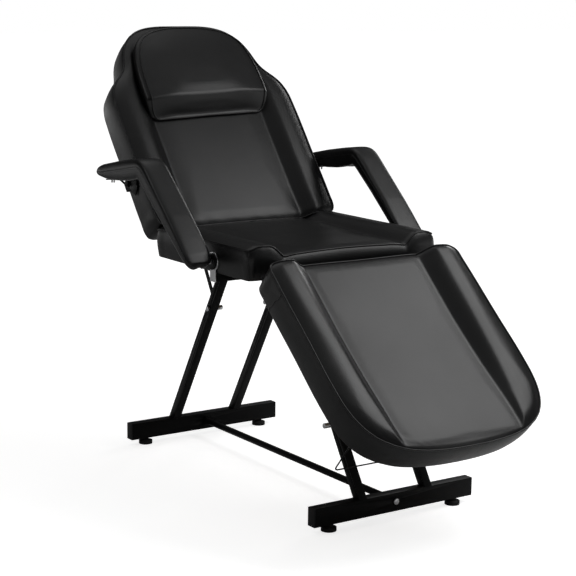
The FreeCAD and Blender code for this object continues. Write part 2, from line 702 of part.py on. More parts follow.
nodes["back_stay_brackets"] = pair(stay_bracket(back_side, back_top_s, back_under, back_stay_drop,
                                                back_bracket_y, back_bracket_y - lug_width))
nodes["leg_stay_brackets"] = pair(stay_bracket(leg_side, leg_stay_at, 0, leg_stay_drop, leg_bracket_y,
                                               leg_bracket_y + lug_width))
back_bolt = bolt(back_hinge_x, back_hinge_z, plate_y0, lug_y1, bolt_radius)
back_stay_bolt = bolt(back_top_x, back_top_z, back_bracket_y, back_upper_y + plate, stay_pin_radius)
nodes["back_frame_bolts"] = pair(back_bolt) + pair(back_stay_bolt)
leg_bolt = pin(leg_hinge_x, leg_hinge_z, plate_y0, lug_y1, bolt_radius)
leg_bolt = leg_bolt.fuse(pin(leg_hinge_x, leg_hinge_z, lug_y1, lug_y1 + bolt_head_height, bolt_head_radius))
leg_stay_bolt = bolt(leg_top_x, leg_top_z, leg_upper_y, leg_bracket_y + plate, stay_pin_radius)
nodes["leg_frame_bolts"] = pair(leg_bolt.removeSplitter()) + pair(leg_stay_bolt)

# Release bail: a bent wire hung from two clips under the leg board, its crossbar by the front legs
bail_half_width = outer_rail_y + tube_size / 2 + bail_rail_gap
bail_at = leg_length - bail_foot_inset
leg_front_face = tube_size / 2 / math.cos(math.atan(front_leg_slope))
bail_foot_x = (leg_x(front_leg_foot_x, front_leg_slope, bail_foot_z) + leg_front_face + bail_gap
               + bail_wire_radius)
bail_x, bail_z = leg_side.at(bail_at, -bail_drop)


def bail_wire():
    """A pin at each side, arms down to the crossbar, with round bends."""
    half = bail_half_width
    r = bail_bend_radius
    clip_y = half - lug_width
    length = math.hypot(bail_foot_x - bail_x, bail_foot_z - bail_z)
    dx, dz = (bail_foot_x - bail_x) / length, (bail_foot_z - bail_z) / length

    def at(y, along):
        return FreeCAD.Vector(bail_x + dx * along, y, bail_z + dz * along)

    k = r * (1 - math.sqrt(0.5))
    edges = [Part.LineSegment(at(-clip_y, 0), at(-half + r, 0)).toShape(),
             Part.Arc(at(-half + r, 0), at(-half + k, k), at(-half, r)).toShape(),
             Part.LineSegment(at(-half, r), at(-half, length - r)).toShape(),
             Part.Arc(at(-half, length - r), at(-half + k, length - k), at(-half + r, length)).toShape(),
             Part.LineSegment(at(-half + r, length), at(half - r, length)).toShape(),
             Part.Arc(at(half - r, length), at(half - k, length - k), at(half, length - r)).toShape(),
             Part.LineSegment(at(half, length - r), at(half, r)).toShape(),
             Part.Arc(at(half, r), at(half - k, k), at(half - r, 0)).toShape(),
             Part.LineSegment(at(half - r, 0), at(clip_y, 0)).toShape()]
    path = Part.Wire(edges)
    ring = Part.Wire(Part.makeCircle(bail_wire_radius, at(-clip_y, 0), y_axis))
    return path.makePipeShell([ring], True, False)


nodes["release_bail"] = [bail_wire()]
clip_inner_y = bail_half_width - lug_width - plate
clip_outer_y = bail_half_width - bail_bend_radius - plate_gap
clip_half = 2 * plate
clip_block = block(leg_side, bail_at - clip_half, bail_at + clip_half, -bail_drop - clip_half / 2, 0,
                   clip_inner_y, clip_outer_y)
clip_bore = pin(bail_x, bail_z, clip_inner_y + plate - fit_gap, clip_outer_y + overrun,
                bail_wire_radius + pin_clearance)
nodes["bail_clips"] = pair(clip_block.cut(clip_bore))

# Armrests: pivot plates on the stub tubes, bent bar, pad and slide rail
arm_hole = bolt_radius + pin_clearance
arm_pivot_x = arm_stub_x
arm_inner_y = half_width + arm_side_gap
arm_plate_end_y = arm_stub_end_y + arm_plate_thickness
arm_tab_y = arm_plate_end_y + plate_gap
plate_disc = pin(arm_pivot_x, arm_pivot_z, arm_stub_end_y, arm_plate_end_y, arm_eye_radius)
neck_x0, neck_x1 = arm_pivot_x - arm_eye_radius / 2, arm_pivot_x + arm_eye_radius / 2
plate_neck = across([(neck_x0, frame_low), (neck_x1, frame_low), (neck_x1, arm_pivot_z),
                     (neck_x0, arm_pivot_z)], arm_stub_end_y, arm_plate_end_y)
pivot_hole = pin(arm_pivot_x, arm_pivot_z, arm_stub_end_y - overrun, arm_tab_y + plate + overrun, arm_hole)
nodes["arm_pivot_plates"] = pair(plate_disc.fuse(plate_neck).cut(pivot_hole).removeSplitter())


def arm_top_line():
    """Top edge of the pad from the rear tip over the bend to the foot, with tangents."""
    tip = FreeCAD.Vector(arm_tip_x, 0, arm_tip_z)
    bend = FreeCAD.Vector(arm_bend_x, 0, arm_bend_z)
    end = FreeCAD.Vector(arm_foot_x, 0, arm_foot_z)
    a = bend.sub(tip)
    a.normalize()
    b = end.sub(bend)
    b.normalize()
    turn = a.getAngle(b)
    cut = arm_bend_radius * math.tan(turn / 2)
    start = bend.sub(a * cut)
    normal = FreeCAD.Vector(-a.z, 0, a.x)
    centre = start.sub(normal * arm_bend_radius)
    return tip, a, start, centre, normal, turn, end, b


def arm_stations():
    """Places along the top edge: point, unit tangent and share of full thickness."""
    tip, a, start, centre, normal, turn, end, b = arm_top_line()
    run = start.sub(tip).Length
    rear_shares = [(0, 0, 0.35), (0, 1, 0.55), (0.33, 0, 0.8), (0.67, 0, 0.95)]
    front_shares = [(3, 1), (1, 0.9), (0, 0.6)]
    rows = [(tip + a * (run * along + end_round * rounds), a, share) for along, rounds, share in rear_shares]
    for i in range(arm_bend_steps + 1):
        angle = turn * i / arm_bend_steps
        radial = normal * math.cos(angle) + a * math.sin(angle)
        tangent = a * math.cos(angle) - normal * math.sin(angle)
        rows.append((centre + radial * arm_bend_radius, tangent, 1.0))
    rows += [(end - b * (end_round * rounds), b, share) for rounds, share in front_shares]
    return rows


def arm_ring(place, tangent, share, y0, y1):
    """Section of the pad: flat base, upright sides and a crowned top."""
    up = FreeCAD.Vector(-tangent.z, 0, tangent.x)
    inset = end_round * (1 - share)
    mid = (y0 + y1) / 2
    base = place - up * (arm_edge_thickness * share)
    top = place + up * (arm_crown * share)

    def on(point, y):
        return FreeCAD.Vector(point.x, y, point.z)

    low, high = y0 + inset, y1 - inset
    edges = [Part.LineSegment(on(base, low), on(base, high)).toShape(),
             Part.LineSegment(on(base, high), on(place, high)).toShape(),
             Part.Arc(on(place, high), on(top, mid), on(place, low)).toShape(),
             Part.LineSegment(on(place, low), on(base, low)).toShape()]
    return Part.Wire(edges)


arm_outer_y = arm_inner_y + arm_width
arm_mid_y = arm_inner_y + arm_width / 2
stations = arm_stations()
arm_pad = Part.makeLoft([arm_ring(p, t, share, arm_inner_y, arm_outer_y) for p, t, share in stations],
                        True, True)


def bar_line(offset, first, last):
    """The pad's base line moved by an offset, between two stations."""
    points = []
    for place, tangent, share in stations[first:last]:
        up = FreeCAD.Vector(-tangent.z, 0, tangent.x)
        point = place - up * (arm_edge_thickness * share - offset)
        points.append((point.x, point.z))
    return points


bar_corners = bar_line(0.0, 2, 10) + bar_line(arm_bar_thickness, 2, 10)[::-1]
groove_corners = bar_line(-overrun, 2, 10) + bar_line(arm_bar_thickness + fit_gap, 2, 10)[::-1]
bar_y0, bar_y1 = arm_mid_y - arm_bar_width / 2, arm_mid_y + arm_bar_width / 2
groove = across(groove_corners, bar_y0 - fit_gap, bar_y1 + fit_gap)
foot_base = bar_line(0.0, 9, 10)[0]
tab_low_x, tab_low_z = foot_base
tab_dir = stations[9][1]
tab_normal = FreeCAD.Vector(-tab_dir.z, 0, tab_dir.x)


def tab_corner(along, down):
    return (tab_low_x + tab_dir.x * along - tab_normal.x * down,
            tab_low_z + tab_dir.z * along - tab_normal.z * down)


tab_length = lug_width
tab_strip = across([tab_corner(-tab_length, 0), tab_corner(0, 0), tab_corner(0, arm_bar_thickness),
                    tab_corner(-tab_length, arm_bar_thickness)], arm_tab_y, bar_y1)
tab_ear = pin(arm_pivot_x, arm_pivot_z, arm_tab_y, arm_tab_y + plate, arm_eye_radius - cap_wall)
tab_web = across([tab_corner(-tab_length, 0), tab_corner(0, 0), (arm_pivot_x + hinge_eye_radius, arm_pivot_z),
                  (arm_pivot_x - hinge_eye_radius, arm_pivot_z)], arm_tab_y, arm_tab_y + plate)
arm_bar = across(bar_corners, bar_y0, bar_y1)
arm_bar = arm_bar.fuse([tab_strip, tab_ear, tab_web]).cut(pivot_hole).removeSplitter()
arm_pad = arm_pad.cut(groove)

# Slide rail under the rear of the pad: the peg of the back runs in its slot
pivot_to_peg = math.hypot(arm_peg_x - arm_pivot_x, arm_peg_z - arm_pivot_z)
peg_dx, peg_dz = (arm_peg_x - arm_pivot_x) / pivot_to_peg, (arm_peg_z - arm_pivot_z) / pivot_to_peg


def slide_corner(along, off):
    return (arm_peg_x + peg_dx * along - peg_dz * off, arm_peg_z + peg_dz * along + peg_dx * off)


slot_half = arm_peg_radius + slide_slack
rail_half = slot_half + slide_wall
slot_box = [slide_corner(-slide_slack, slot_half), slide_corner(slide_travel + slide_slack, slot_half),
            slide_corner(slide_travel + slide_slack, -slot_half), slide_corner(-slide_slack, -slot_half)]
rail_reach = slide_slack + slot_half + slide_wall
rail_front = rail_reach + slide_flange_length
rail_box = [slide_corner(-rail_front, rail_half), slide_corner(slide_travel + rail_reach, rail_half),
            slide_corner(slide_travel + rail_reach, -rail_half), slide_corner(-rail_front, -rail_half)]
upright_y = half_width + bracket_gap
slide_y0 = upright_y + arm_plate_thickness + plate_gap
slide_y1 = slide_y0 + arm_plate_thickness
knob_y = slide_y1 + plate_gap
slot = across(slot_box, slide_y0 - overrun, slide_y1 + overrun)
for along in (-slide_slack, slide_travel + slide_slack):
    end_x, end_z = slide_corner(along, 0)
    slot = slot.fuse(pin(end_x, end_z, slide_y0 - overrun, slide_y1 + overrun, slot_half))

nodes["arm_pad_left"] = [arm_pad]
nodes["arm_pad_right"] = [mirrored(arm_pad)]
nodes["arm_bar_left"] = [arm_bar]
nodes["arm_bar_right"] = [mirrored(arm_bar)]
slide_plate = across(rail_box, slide_y0, slide_y1)
pad_under = bar_line(0.0, 2, 4)
under_dx, under_dz = pad_under[1][0] - pad_under[0][0], pad_under[1][1] - pad_under[0][1]
under_slope = under_dz / under_dx


def under_z(x):
    return pad_under[0][1] + under_slope * (x - pad_under[0][0]) - fit_gap


def flange(x0, x1, y0, y1):
    """A flat strip against the pad's underside."""
    return across([(x0, under_z(x0)), (x1, under_z(x1)), (x1, under_z(x1) - arm_plate_thickness),
                   (x0, under_z(x0) - arm_plate_thickness)], y0, y1)


# The web stands forward of the knob's way, and the rear strip lies outboard of it
web_front_x, web_front_z = slide_corner(-rail_front, 0)
web_rear_x, web_rear_z = slide_corner(-arm_knob_radius - slide_slack, 0)
strip_rear_x, strip_y0 = slide_corner(rail_reach, 0)[0], knob_y + arm_knob_length + plate_gap
web = across([(web_rear_x, under_z(web_rear_x)), (web_front_x, under_z(web_front_x)),
              (web_front_x, web_front_z), (web_rear_x, web_rear_z)], slide_y0, slide_y1)
slide_rail = slide_plate.fuse([web, flange(web_rear_x, web_front_x, slide_y0, bar_y1),
                               flange(strip_rear_x, web_rear_x, strip_y0, bar_y1)])
slide_rail = slide_rail.cut(slot).removeSplitter()
nodes["arm_slide_rail_left"] = [slide_rail]
nodes["arm_slide_rail_right"] = [mirrored(slide_rail)]

pivot_head_y = arm_tab_y + plate
pivot_bolt = pin(arm_pivot_x, arm_pivot_z, arm_stub_end_y, pivot_head_y, bolt_radius)
pivot_bolt = pivot_bolt.fuse(pin(arm_pivot_x, arm_pivot_z, pivot_head_y, pivot_head_y + bolt_head_height,
                                 bolt_head_radius)).removeSplitter()
rail_studs = []
for along in (-slot_half / 2, slot_half):
    sx = slide_corner(along, 0)[0]
    top = under_z(sx) - arm_plate_thickness
    stud = Part.makeCylinder(screw_radius, 2 * plate, FreeCAD.Vector(sx, arm_mid_y, top - 2 * plate), z_axis)
    rail_studs.append(stud.cut(slide_rail))
nodes["arm_fasteners_left"] = [pivot_bolt] + rail_studs
nodes["arm_fasteners_right"] = [mirrored(solid) for solid in nodes["arm_fasteners_left"]]

# Peg brackets on the back: a strip under the board and an upright beside the cushion
peg_s, peg_t = back_side.local(arm_peg_x, arm_peg_z)
strip = block(back_side, peg_s - lug_width / 2, peg_s + lug_width / 2, back_under - arm_plate_thickness,
              back_under, lug_y1 + plate, upright_y + arm_plate_thickness)
upright = block(back_side, peg_s - lug_width / 2, peg_s + lug_width / 2, back_under - arm_plate_thickness,
                peg_t, upright_y, upright_y + arm_plate_thickness)
knuckle = pin(arm_peg_x, arm_peg_z, upright_y, upright_y + arm_plate_thickness, lug_width / 2)
peg = pin(arm_peg_x, arm_peg_z, upright_y, knob_y, arm_peg_radius)
knob = pin(arm_peg_x, arm_peg_z, knob_y, knob_y + arm_knob_length, arm_knob_radius)
nodes["arm_peg_brackets"] = pair(strip.fuse([upright, knuckle, peg, knob]).removeSplitter())

# Head pillow: its lower end lies in the channel, its head end on the rolls
pillow_half_width = half_width - pillow_side_inset
pillow_floor = -channel_depth + channel_crown + pillow_gap
pillow_shares = [
    (0.0, 0.9, 0.0, 0.05, 0.02), (0.07, 0.92, 0.0, 0.45, 0.4), (0.15, 0.94, 0.0, 0.95, 0.8),
    (0.26, 0.965, 0.6, 1.0, 1.0), (0.36, 1.0, 1.0, 1.0, 1.0), (0.5, 1.0, 1.0, 1.0, 1.0),
    (0.68, 0.93, 1.0, 0.95, 0.95), (0.81, 0.81, 0.95, 0.9, 0.85), (0.9, 0.66, 0.9, 0.8, 0.7),
    (0.96, 0.5, 0.85, 0.65, 0.5), (1.0, 0.34, 0.8, 0.5, 0.2)]
pillow_rings = []
for place_share, width_share, base_share, edge_share, crown_share in pillow_shares:
    s = pillow_start + pillow_length * place_share
    half = pillow_half_width * width_share
    base = pillow_floor + (pillow_seat_height - pillow_floor) * base_share
    edge = max(base + end_round / 3, pillow_floor + (pillow_edge_height - pillow_floor) * edge_share)
    top = edge + pillow_crown_height * crown_share
    corners = [(-half, base), (half, base), (half + side_bulge / 2, (base + edge) / 2), (half, edge),
               (0.0, top), (-half, edge), (-half - side_bulge / 2, (base + edge) / 2), (-half, base)]
    pillow_rings.append(ring_wire([back_side.point(s, y, t) for y, t in corners]))
lifted = back_side.point(0, 0, pillow_gap).sub(back_side.point(0, 0, 0))
nodes["head_pillow"] = [Part.makeLoft(pillow_rings, True, True).cut(back_cushion.translated(lifted))]

# Place the chair with the middle of its box on the origin
bounds = FreeCAD.BoundBox()
for solids in nodes.values():
    for solid in solids:
        bounds.add(solid.optimalBoundingBox(False))
shift = -(bounds.XMin + bounds.XMax) / 2
print("bounds", [round(value, 2) for value in (bounds.XMin, bounds.XMax, bounds.YMin, bounds.YMax,
                                               bounds.ZMin, bounds.ZMax)], "shift", round(shift, 3))

os.makedirs("parts", exist_ok=True)
for name, solids in nodes.items():
    shape = solids[0] if len(solids) == 1 else Part.makeCompound(solids)
    print(name, "solids", len(shape.Solids), "volume", round(shape.Volume), "valid", shape.isValid())
    shape.translated(FreeCAD.Vector(shift, 0, 0)).exportStep("parts/" + name + ".step")
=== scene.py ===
import json
import math

import bmesh
import bpy
import numpy as np
from mathutils import Matrix, Vector
from mathutils.bvhtree import BVHTree


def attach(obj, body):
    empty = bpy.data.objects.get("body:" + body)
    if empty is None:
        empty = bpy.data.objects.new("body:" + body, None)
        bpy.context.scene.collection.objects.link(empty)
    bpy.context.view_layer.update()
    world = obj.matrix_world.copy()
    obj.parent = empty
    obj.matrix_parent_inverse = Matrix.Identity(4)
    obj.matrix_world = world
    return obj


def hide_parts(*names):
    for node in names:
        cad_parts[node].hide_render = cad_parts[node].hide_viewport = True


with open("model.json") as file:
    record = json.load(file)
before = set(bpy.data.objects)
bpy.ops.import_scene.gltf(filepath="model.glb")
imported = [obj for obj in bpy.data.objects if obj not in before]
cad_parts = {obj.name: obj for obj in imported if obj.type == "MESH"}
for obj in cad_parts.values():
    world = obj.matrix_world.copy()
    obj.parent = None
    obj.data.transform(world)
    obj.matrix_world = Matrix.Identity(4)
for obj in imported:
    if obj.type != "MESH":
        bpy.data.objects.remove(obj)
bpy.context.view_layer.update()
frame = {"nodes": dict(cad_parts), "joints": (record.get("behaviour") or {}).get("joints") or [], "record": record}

# Welded stand and hinged frames: square tube and flat steel under matt black powder coat.
# The coat has a fine orange-peel skin, slow changes of sheen, and a little dust on top faces.


def add_node(tree, kind, inputs=(), **settings):
    """A shader node with its settings, and values or links for its inputs by name or number."""
    node = tree.nodes.new("ShaderNode" + kind)
    for name, value in settings.items():
        setattr(node, name, value)
    for name, value in dict(inputs).items():
        if isinstance(value, bpy.types.NodeSocket):
            tree.links.new(value, node.inputs[name])
        else:
            node.inputs[name].default_value = value
    return node


def combine(tree, operation, *values):
    """Socket of a Math node's result, from sockets and numbers."""
    return add_node(tree, "Math", dict(enumerate(values)), operation=operation).outputs["Value"]


def noise(tree, vector, scale, detail, roughness=0.5):
    """A noise texture on a vector."""
    return add_node(tree, "TexNoise", {"Vector": vector, "Scale": scale, "Detail": detail,
                                       "Roughness": roughness})


def ramp(tree, value, low, high, first=0.0, last=1.0, kind="LINEAR"):
    """Socket of a value carried from one span to another, held at both ends."""
    spans = {"Value": value, "From Min": low, "From Max": high, "To Min": first, "To Max": last}
    return add_node(tree, "MapRange", spans, interpolation_type=kind).outputs["Result"]


def new_group(name, values, results):
    """An empty node group with float inputs and their defaults, and outputs by name and kind."""
    tree = bpy.data.node_groups.new(name, "ShaderNodeTree")
    for label, default in values.items():
        socket = tree.interface.new_socket(label, in_out="INPUT", socket_type="NodeSocketFloat")
        socket.default_value = default
    for label, kind in results.items():
        tree.interface.new_socket(label, in_out="OUTPUT", socket_type=kind)
    return tree, tree.nodes.new("NodeGroupInput"), tree.nodes.new("NodeGroupOutput")


def skin_group():
    """Fine skin of a coat or moulding: Height from noise of one grain size, Patches from slow noise."""
    tree, given, result = new_group("fine_skin", {"Grains per metre": 900.0, "Patches per metre": 6.0},
                                    {"Height": "NodeSocketFloat", "Patches": "NodeSocketFloat"})
    place = add_node(tree, "TexCoord").outputs["Object"]
    grain = noise(tree, place, given.outputs["Grains per metre"], 2.0, 0.55)
    slow = noise(tree, place, given.outputs["Patches per metre"], 4.0, 0.6)
    tree.links.new(grain.outputs["Fac"], result.inputs["Height"])
    tree.links.new(slow.outputs["Fac"], result.inputs["Patches"])
    return tree


def dust_group():
    """Dust that settles on faces that look up: the upward part of the normal, broken by noise."""
    tree, given, result = new_group("settled_dust", {"Amount": 0.2}, {"Mask": "NodeSocketFloat"})
    surface = add_node(tree, "NewGeometry")
    parts = add_node(tree, "SeparateXYZ", {"Vector": surface.outputs["Normal"]})
    specks = noise(tree, add_node(tree, "TexCoord").outputs["Object"], 55.0, 6.0, 0.7)
    broken = combine(tree, "MULTIPLY", ramp(tree, parts.outputs["Z"], 0.55, 1.0), specks.outputs["Fac"])
    tree.links.new(combine(tree, "MULTIPLY", broken, given.outputs["Amount"]), result.inputs["Mask"])
    return tree


fine_skin = skin_group()
settled_dust = dust_group()


def new_material(name):
    """A material with nodes, its tree and its main shader."""
    material = bpy.data.materials.new(name)
    material.use_nodes = True
    return material, material.node_tree, material.node_tree.nodes["Principled BSDF"]


def coated_material(name, colour, worn_colour, roughness, spread, grain, bump, dust, gloss=0.5, metallic=0.0,
                    skin_tree=fine_skin, dust_colour=(0.32, 0.31, 0.3)):
    """A skin on a solid: two near colours and the roughness by its slow patches, dust on top, and a bump
    from its grain."""
    material, tree, shader = new_material(name)
    shader.inputs["Metallic"].default_value = metallic
    shader.inputs["Specular IOR Level"].default_value = gloss
    skin = add_node(tree, "Group", node_tree=skin_tree)
    skin.inputs[0].default_value = grain
    tones = add_node(tree, "Mix", {0: skin.outputs["Patches"]}, data_type="RGBA")
    tones.inputs[6].default_value = (*colour, 1.0)
    tones.inputs[7].default_value = (*worn_colour, 1.0)
    dusty = add_node(tree, "Mix", data_type="RGBA")
    film = add_node(tree, "Group", node_tree=settled_dust)
    film.inputs["Amount"].default_value = dust
    tree.links.new(film.outputs["Mask"], dusty.inputs[0])
    tree.links.new(tones.outputs[2], dusty.inputs[6])
    dusty.inputs[7].default_value = (*dust_colour, 1.0)
    rough = ramp(tree, skin.outputs["Patches"], 0.0, 1.0, roughness - spread, roughness + spread)
    relief = add_node(tree, "Bump", {"Height": skin.outputs["Height"], "Strength": 0.5, "Distance": bump})
    tree.links.new(dusty.outputs[2], shader.inputs["Base Color"])
    tree.links.new(rough, shader.inputs["Roughness"])
    tree.links.new(relief.outputs["Normal"], shader.inputs["Normal"])
    return material


frame_paint = coated_material("frame_paint", (0.003, 0.003, 0.0033), (0.006, 0.006, 0.0063), 0.4, 0.07,
                              1400.0, 0.00012, 0.015, gloss=0.1)
edge_round = 0.0008
node_slot = {part["node"]: part["material_slot"] for part in frame["record"]["subparts"]}


def finish_node(name, material):
    """A carried-over node: its loose triangles welded, its sharp edges eased, its curved faces smooth."""
    piece = frame["nodes"][name]
    piece.data.materials.clear()
    piece.data.materials.append(material)
    weld = piece.modifiers.new("weld", "WELD")
    weld.merge_threshold = 0.00001
    ease = piece.modifiers.new("ease", "BEVEL")
    ease.width = edge_round
    ease.segments = 2
    ease.limit_method = "ANGLE"
    ease.angle_limit = math.radians(50)
    ease.harden_normals = True
    piece.data.polygons.foreach_set("use_smooth", np.ones(len(piece.data.polygons), bool))


def finish_slot(slot, material):
    """Every node of one finish in the record."""
    for name, given in node_slot.items():
        if given == slot:
            finish_node(name, material)


finish_slot("frame_paint", frame_paint)

# Levelling feet, plugs of the tube ends and the bail's clips, moulded in black nylon.
# Moulding leaves a dull, finely grained skin, a shade lighter than the painted tube.
black_plastic = coated_material("black_plastic", (0.01, 0.01, 0.0105), (0.017, 0.017, 0.0175), 0.55, 0.06,
                                2200.0, 0.0001, 0.05, gloss=0.2)
finish_slot("black_plastic", black_plastic)

# Bolts, pins, screws and pivot plates in zinc plated steel, turned or stamped.
# The plating is satin with a faint cloudiness.
zinc_steel = coated_material("zinc_steel", (0.56, 0.56, 0.57), (0.68, 0.68, 0.69), 0.3, 0.08,
                             3000.0, 0.00004, 0.03, metallic=1.0)
finish_slot("zinc_steel", zinc_steel)

# Release bail of the leg rest: one round steel wire, bent in a loop that hangs under the cushion.
# Its steel is dark and half dull.
bail_steel = coated_material("bail_steel", (0.02, 0.02, 0.021), (0.04, 0.04, 0.041), 0.38, 0.08,
                             1800.0, 0.00004, 0.02, metallic=1.0)
finish_slot("bail_steel", bail_steel)

# Boards under the cushions: sawn plywood, screwed to the frames from below.
# The grain runs along the chair.


def board_material():
    """Plywood: noise drawn out along X, pale and dark by turns, with a bump from the same noise."""
    material, tree, shader = new_material("board_wood")
    place = add_node(tree, "TexCoord").outputs["Object"]
    stretch = add_node(tree, "Mapping", {"Vector": place, "Scale": (2.0, 30.0, 2.0)})
    grain = noise(tree, stretch.outputs["Vector"], 6.0, 8.0, 0.65)
    tones = add_node(tree, "ValToRGB", {"Fac": grain.outputs["Fac"]})
    tones.color_ramp.elements[0].position = 0.35
    tones.color_ramp.elements[0].color = (0.3, 0.19, 0.1, 1.0)
    tones.color_ramp.elements[1].position = 0.65
    tones.color_ramp.elements[1].color = (0.52, 0.38, 0.22, 1.0)
    relief = add_node(tree, "Bump", {"Height": grain.outputs["Fac"], "Strength": 0.4, "Distance": 0.0003})
    tree.links.new(tones.outputs["Color"], shader.inputs["Base Color"])
    tree.links.new(relief.outputs["Normal"], shader.inputs["Normal"])
    shader.inputs["Roughness"].default_value = 0.7
    return material


finish_slot("board_wood", board_material())

# Seat cushion: foam on a board under black PVC leather, 610 mm wide and 498 mm long.
# Two side rolls are sewn beside a sunken middle that runs out towards the back; a welt runs round
# the top, and the cover is pulled round the board's edge and stapled underneath.


def leather_group():
    """PVC leather: domed pebble cells bent by noise, with fine noise, as Height, and slow Patches."""
    tree, given, result = new_group("pvc_leather", {"Cells per metre": 900.0},
                                    {"Height": "NodeSocketFloat", "Patches": "NodeSocketFloat"})
    place = add_node(tree, "TexCoord").outputs["Object"]
    bend = noise(tree, place, 160.0, 2.0)
    push = add_node(tree, "VectorMath", {0: bend.outputs["Color"], "Scale": 0.0016}, operation="SCALE")
    moved = add_node(tree, "VectorMath", {0: place, 1: push.outputs["Vector"]}, operation="ADD")
    cells = add_node(tree, "TexVoronoi", {"Vector": moved.outputs["Vector"],
                                          "Scale": given.outputs["Cells per metre"]},
                     feature="DISTANCE_TO_EDGE")
    dome = ramp(tree, cells.outputs["Distance"], 0.0, 0.25, kind="SMOOTHSTEP")
    fine = noise(tree, place, 2600.0, 2.0)
    mixed = combine(tree, "MULTIPLY_ADD", fine.outputs["Fac"], 0.35, dome)
    slow = noise(tree, place, 7.0, 5.0, 0.6)
    tree.links.new(mixed, result.inputs["Height"])
    tree.links.new(slow.outputs["Fac"], result.inputs["Patches"])
    return tree


pvc_leather = leather_group()
cushion_vinyl = coated_material("cushion_vinyl", (0.004, 0.004, 0.0043), (0.007, 0.007, 0.0073), 0.34, 0.05,
                                900.0, 0.00005, 0.012, gloss=0.3, skin_tree=pvc_leather,
                                dust_colour=(0.3, 0.3, 0.3))
joint_place = {joint["name"]: Vector(joint["pos_m"]) for joint in frame["joints"] if "pos_m" in joint}
joint_limit = {joint["name"]: joint["range_deg"][1] for joint in frame["joints"] if "range_deg" in joint}


def side_axes(x, z, angle, forward=1.0):
    """Origin and directions of a section in the side view: s along it, y across, t square to its top."""
    turn = math.radians(angle)
    along = (forward * math.cos(turn), 0.0, -forward * math.sin(turn))
    return np.array([[x, 0.0, z], along, (0.0, 1.0, 0.0), (math.sin(turn), 0.0, math.cos(turn))])


def to_chair(axes, points):
    """Points given as (s, y, t) in a section's axes, in the chair's own axes."""
    return axes[0] + np.asarray(points) @ axes[1:]


def smooth_curve(points, count):
    """Even points on a curve through given ones: cubic spans whose end slopes weigh both neighbours."""
    knots = np.asarray(points, float)
    step = np.linalg.norm(np.diff(knots, axis=0), axis=1)
    slope = np.diff(knots, axis=0) / step[:, None]
    inner = (slope[1:] * step[:-1, None] + slope[:-1] * step[1:, None]) / (step[1:] + step[:-1])[:, None]
    slopes = np.vstack([slope[:1], inner, slope[-1:]])
    t = np.linspace(0, 1, 24, endpoint=False)[None, :, None]
    span = step[:, None, None]
    line = ((1 + 2 * t) * (1 - t) ** 2 * knots[:-1, None] + t * (1 - t) ** 2 * span * slopes[:-1, None]
            + t * t * (3 - 2 * t) * knots[1:, None] + t * t * (t - 1) * span * slopes[1:, None])
    return even_line(np.vstack([line.reshape(-1, knots.shape[1]), knots[-1:]]), count)


def even_line(line, count):
    """The same line with its points evenly spaced along it."""
    run = np.concatenate([[0], np.cumsum(np.linalg.norm(np.diff(line, axis=0), axis=1))])
    at = np.linspace(0, run[-1], count)
    return np.stack([np.interp(at, run, line[:, k]) for k in range(line.shape[1])], axis=1)


def plan_grid(half, near, far, pitch):
    """Even plan of a cushion: the half outline is mirrored, cut at two corners into foot edge, sides
    and head edge, and filled by the two blends of facing edges less the blend of their corners."""
    foot, side, head = (smooth_curve(part, 200) for part in
                        (half[:near + 1], half[near:far + 1], half[far:]))
    flip = np.array([1.0, -1.0])
    rows = max(4, int(round(np.linalg.norm(np.diff(side, axis=0), axis=1).sum() / pitch)))
    columns = 2 * max(3, int(round(half[near][1] / pitch)))
    left, right = even_line(side * flip, rows + 1), even_line(side, rows + 1)
    low = even_line(np.vstack([(foot * flip)[::-1], foot[1:]]), columns + 1)
    high = even_line(np.vstack([head * flip, head[::-1][1:]]), columns + 1)
    u = np.linspace(0, 1, rows + 1)[:, None, None]
    v = np.linspace(0, 1, columns + 1)[None, :, None]
    corners = ((1 - u) * (1 - v) * low[0] + (1 - u) * v * low[-1] + u * (1 - v) * high[0]
               + u * v * high[-1])
    return ((1 - v) * left[:, None] + v * right[:, None] + (1 - u) * low[None] + u * high[None] - corners)


def rim(grid):
    """The border of a grid as one closed loop: foot edge, right side, head edge, left side."""
    return np.concatenate([grid[0, :-1], grid[:-1, -1], grid[-1, :0:-1], grid[:0:-1, 0]])


def outward(loop):
    """Unit normals of a closed plan loop, pointing out of it."""
    run = np.roll(loop, -1, axis=0)[:, :2] - np.roll(loop, 1, axis=0)[:, :2]
    normal = np.stack([-run[:, 1], run[:, 0]], axis=1)
    for _ in range(3):
        normal = normal + np.roll(normal, 1, axis=0) + np.roll(normal, -1, axis=0)
    return normal / np.linalg.norm(normal, axis=1)[:, None]


def edge_distance(s, y, outline):
    """Distance of each plan point to the smooth line through the points of a half outline."""
    line = smooth_curve(outline, 160)
    run = np.diff(line, axis=0)
    offset = np.dstack([s, abs(y)])[..., None, :] - line[:-1]
    share = np.clip((offset * run).sum(-1) / (run * run).sum(-1), 0, 1)
    return np.linalg.norm(offset - share[..., None] * run, axis=-1).min(axis=-1)


def placed(name, data):
    """An object with its data, linked to the scene."""
    thing = bpy.data.objects.new(name, data)
    bpy.context.scene.collection.objects.link(thing)
    return thing


def vinyl_piece(name, points, faces):
    """A smooth mesh in the vinyl's finish, linked to the scene."""
    mesh = bpy.data.meshes.new(name)
    mesh.from_pydata(points.tolist(), [], faces)
    mesh.polygons.foreach_set("use_smooth", np.ones(len(faces), bool))
    mesh.materials.append(cushion_vinyl)
    return placed(name, mesh)


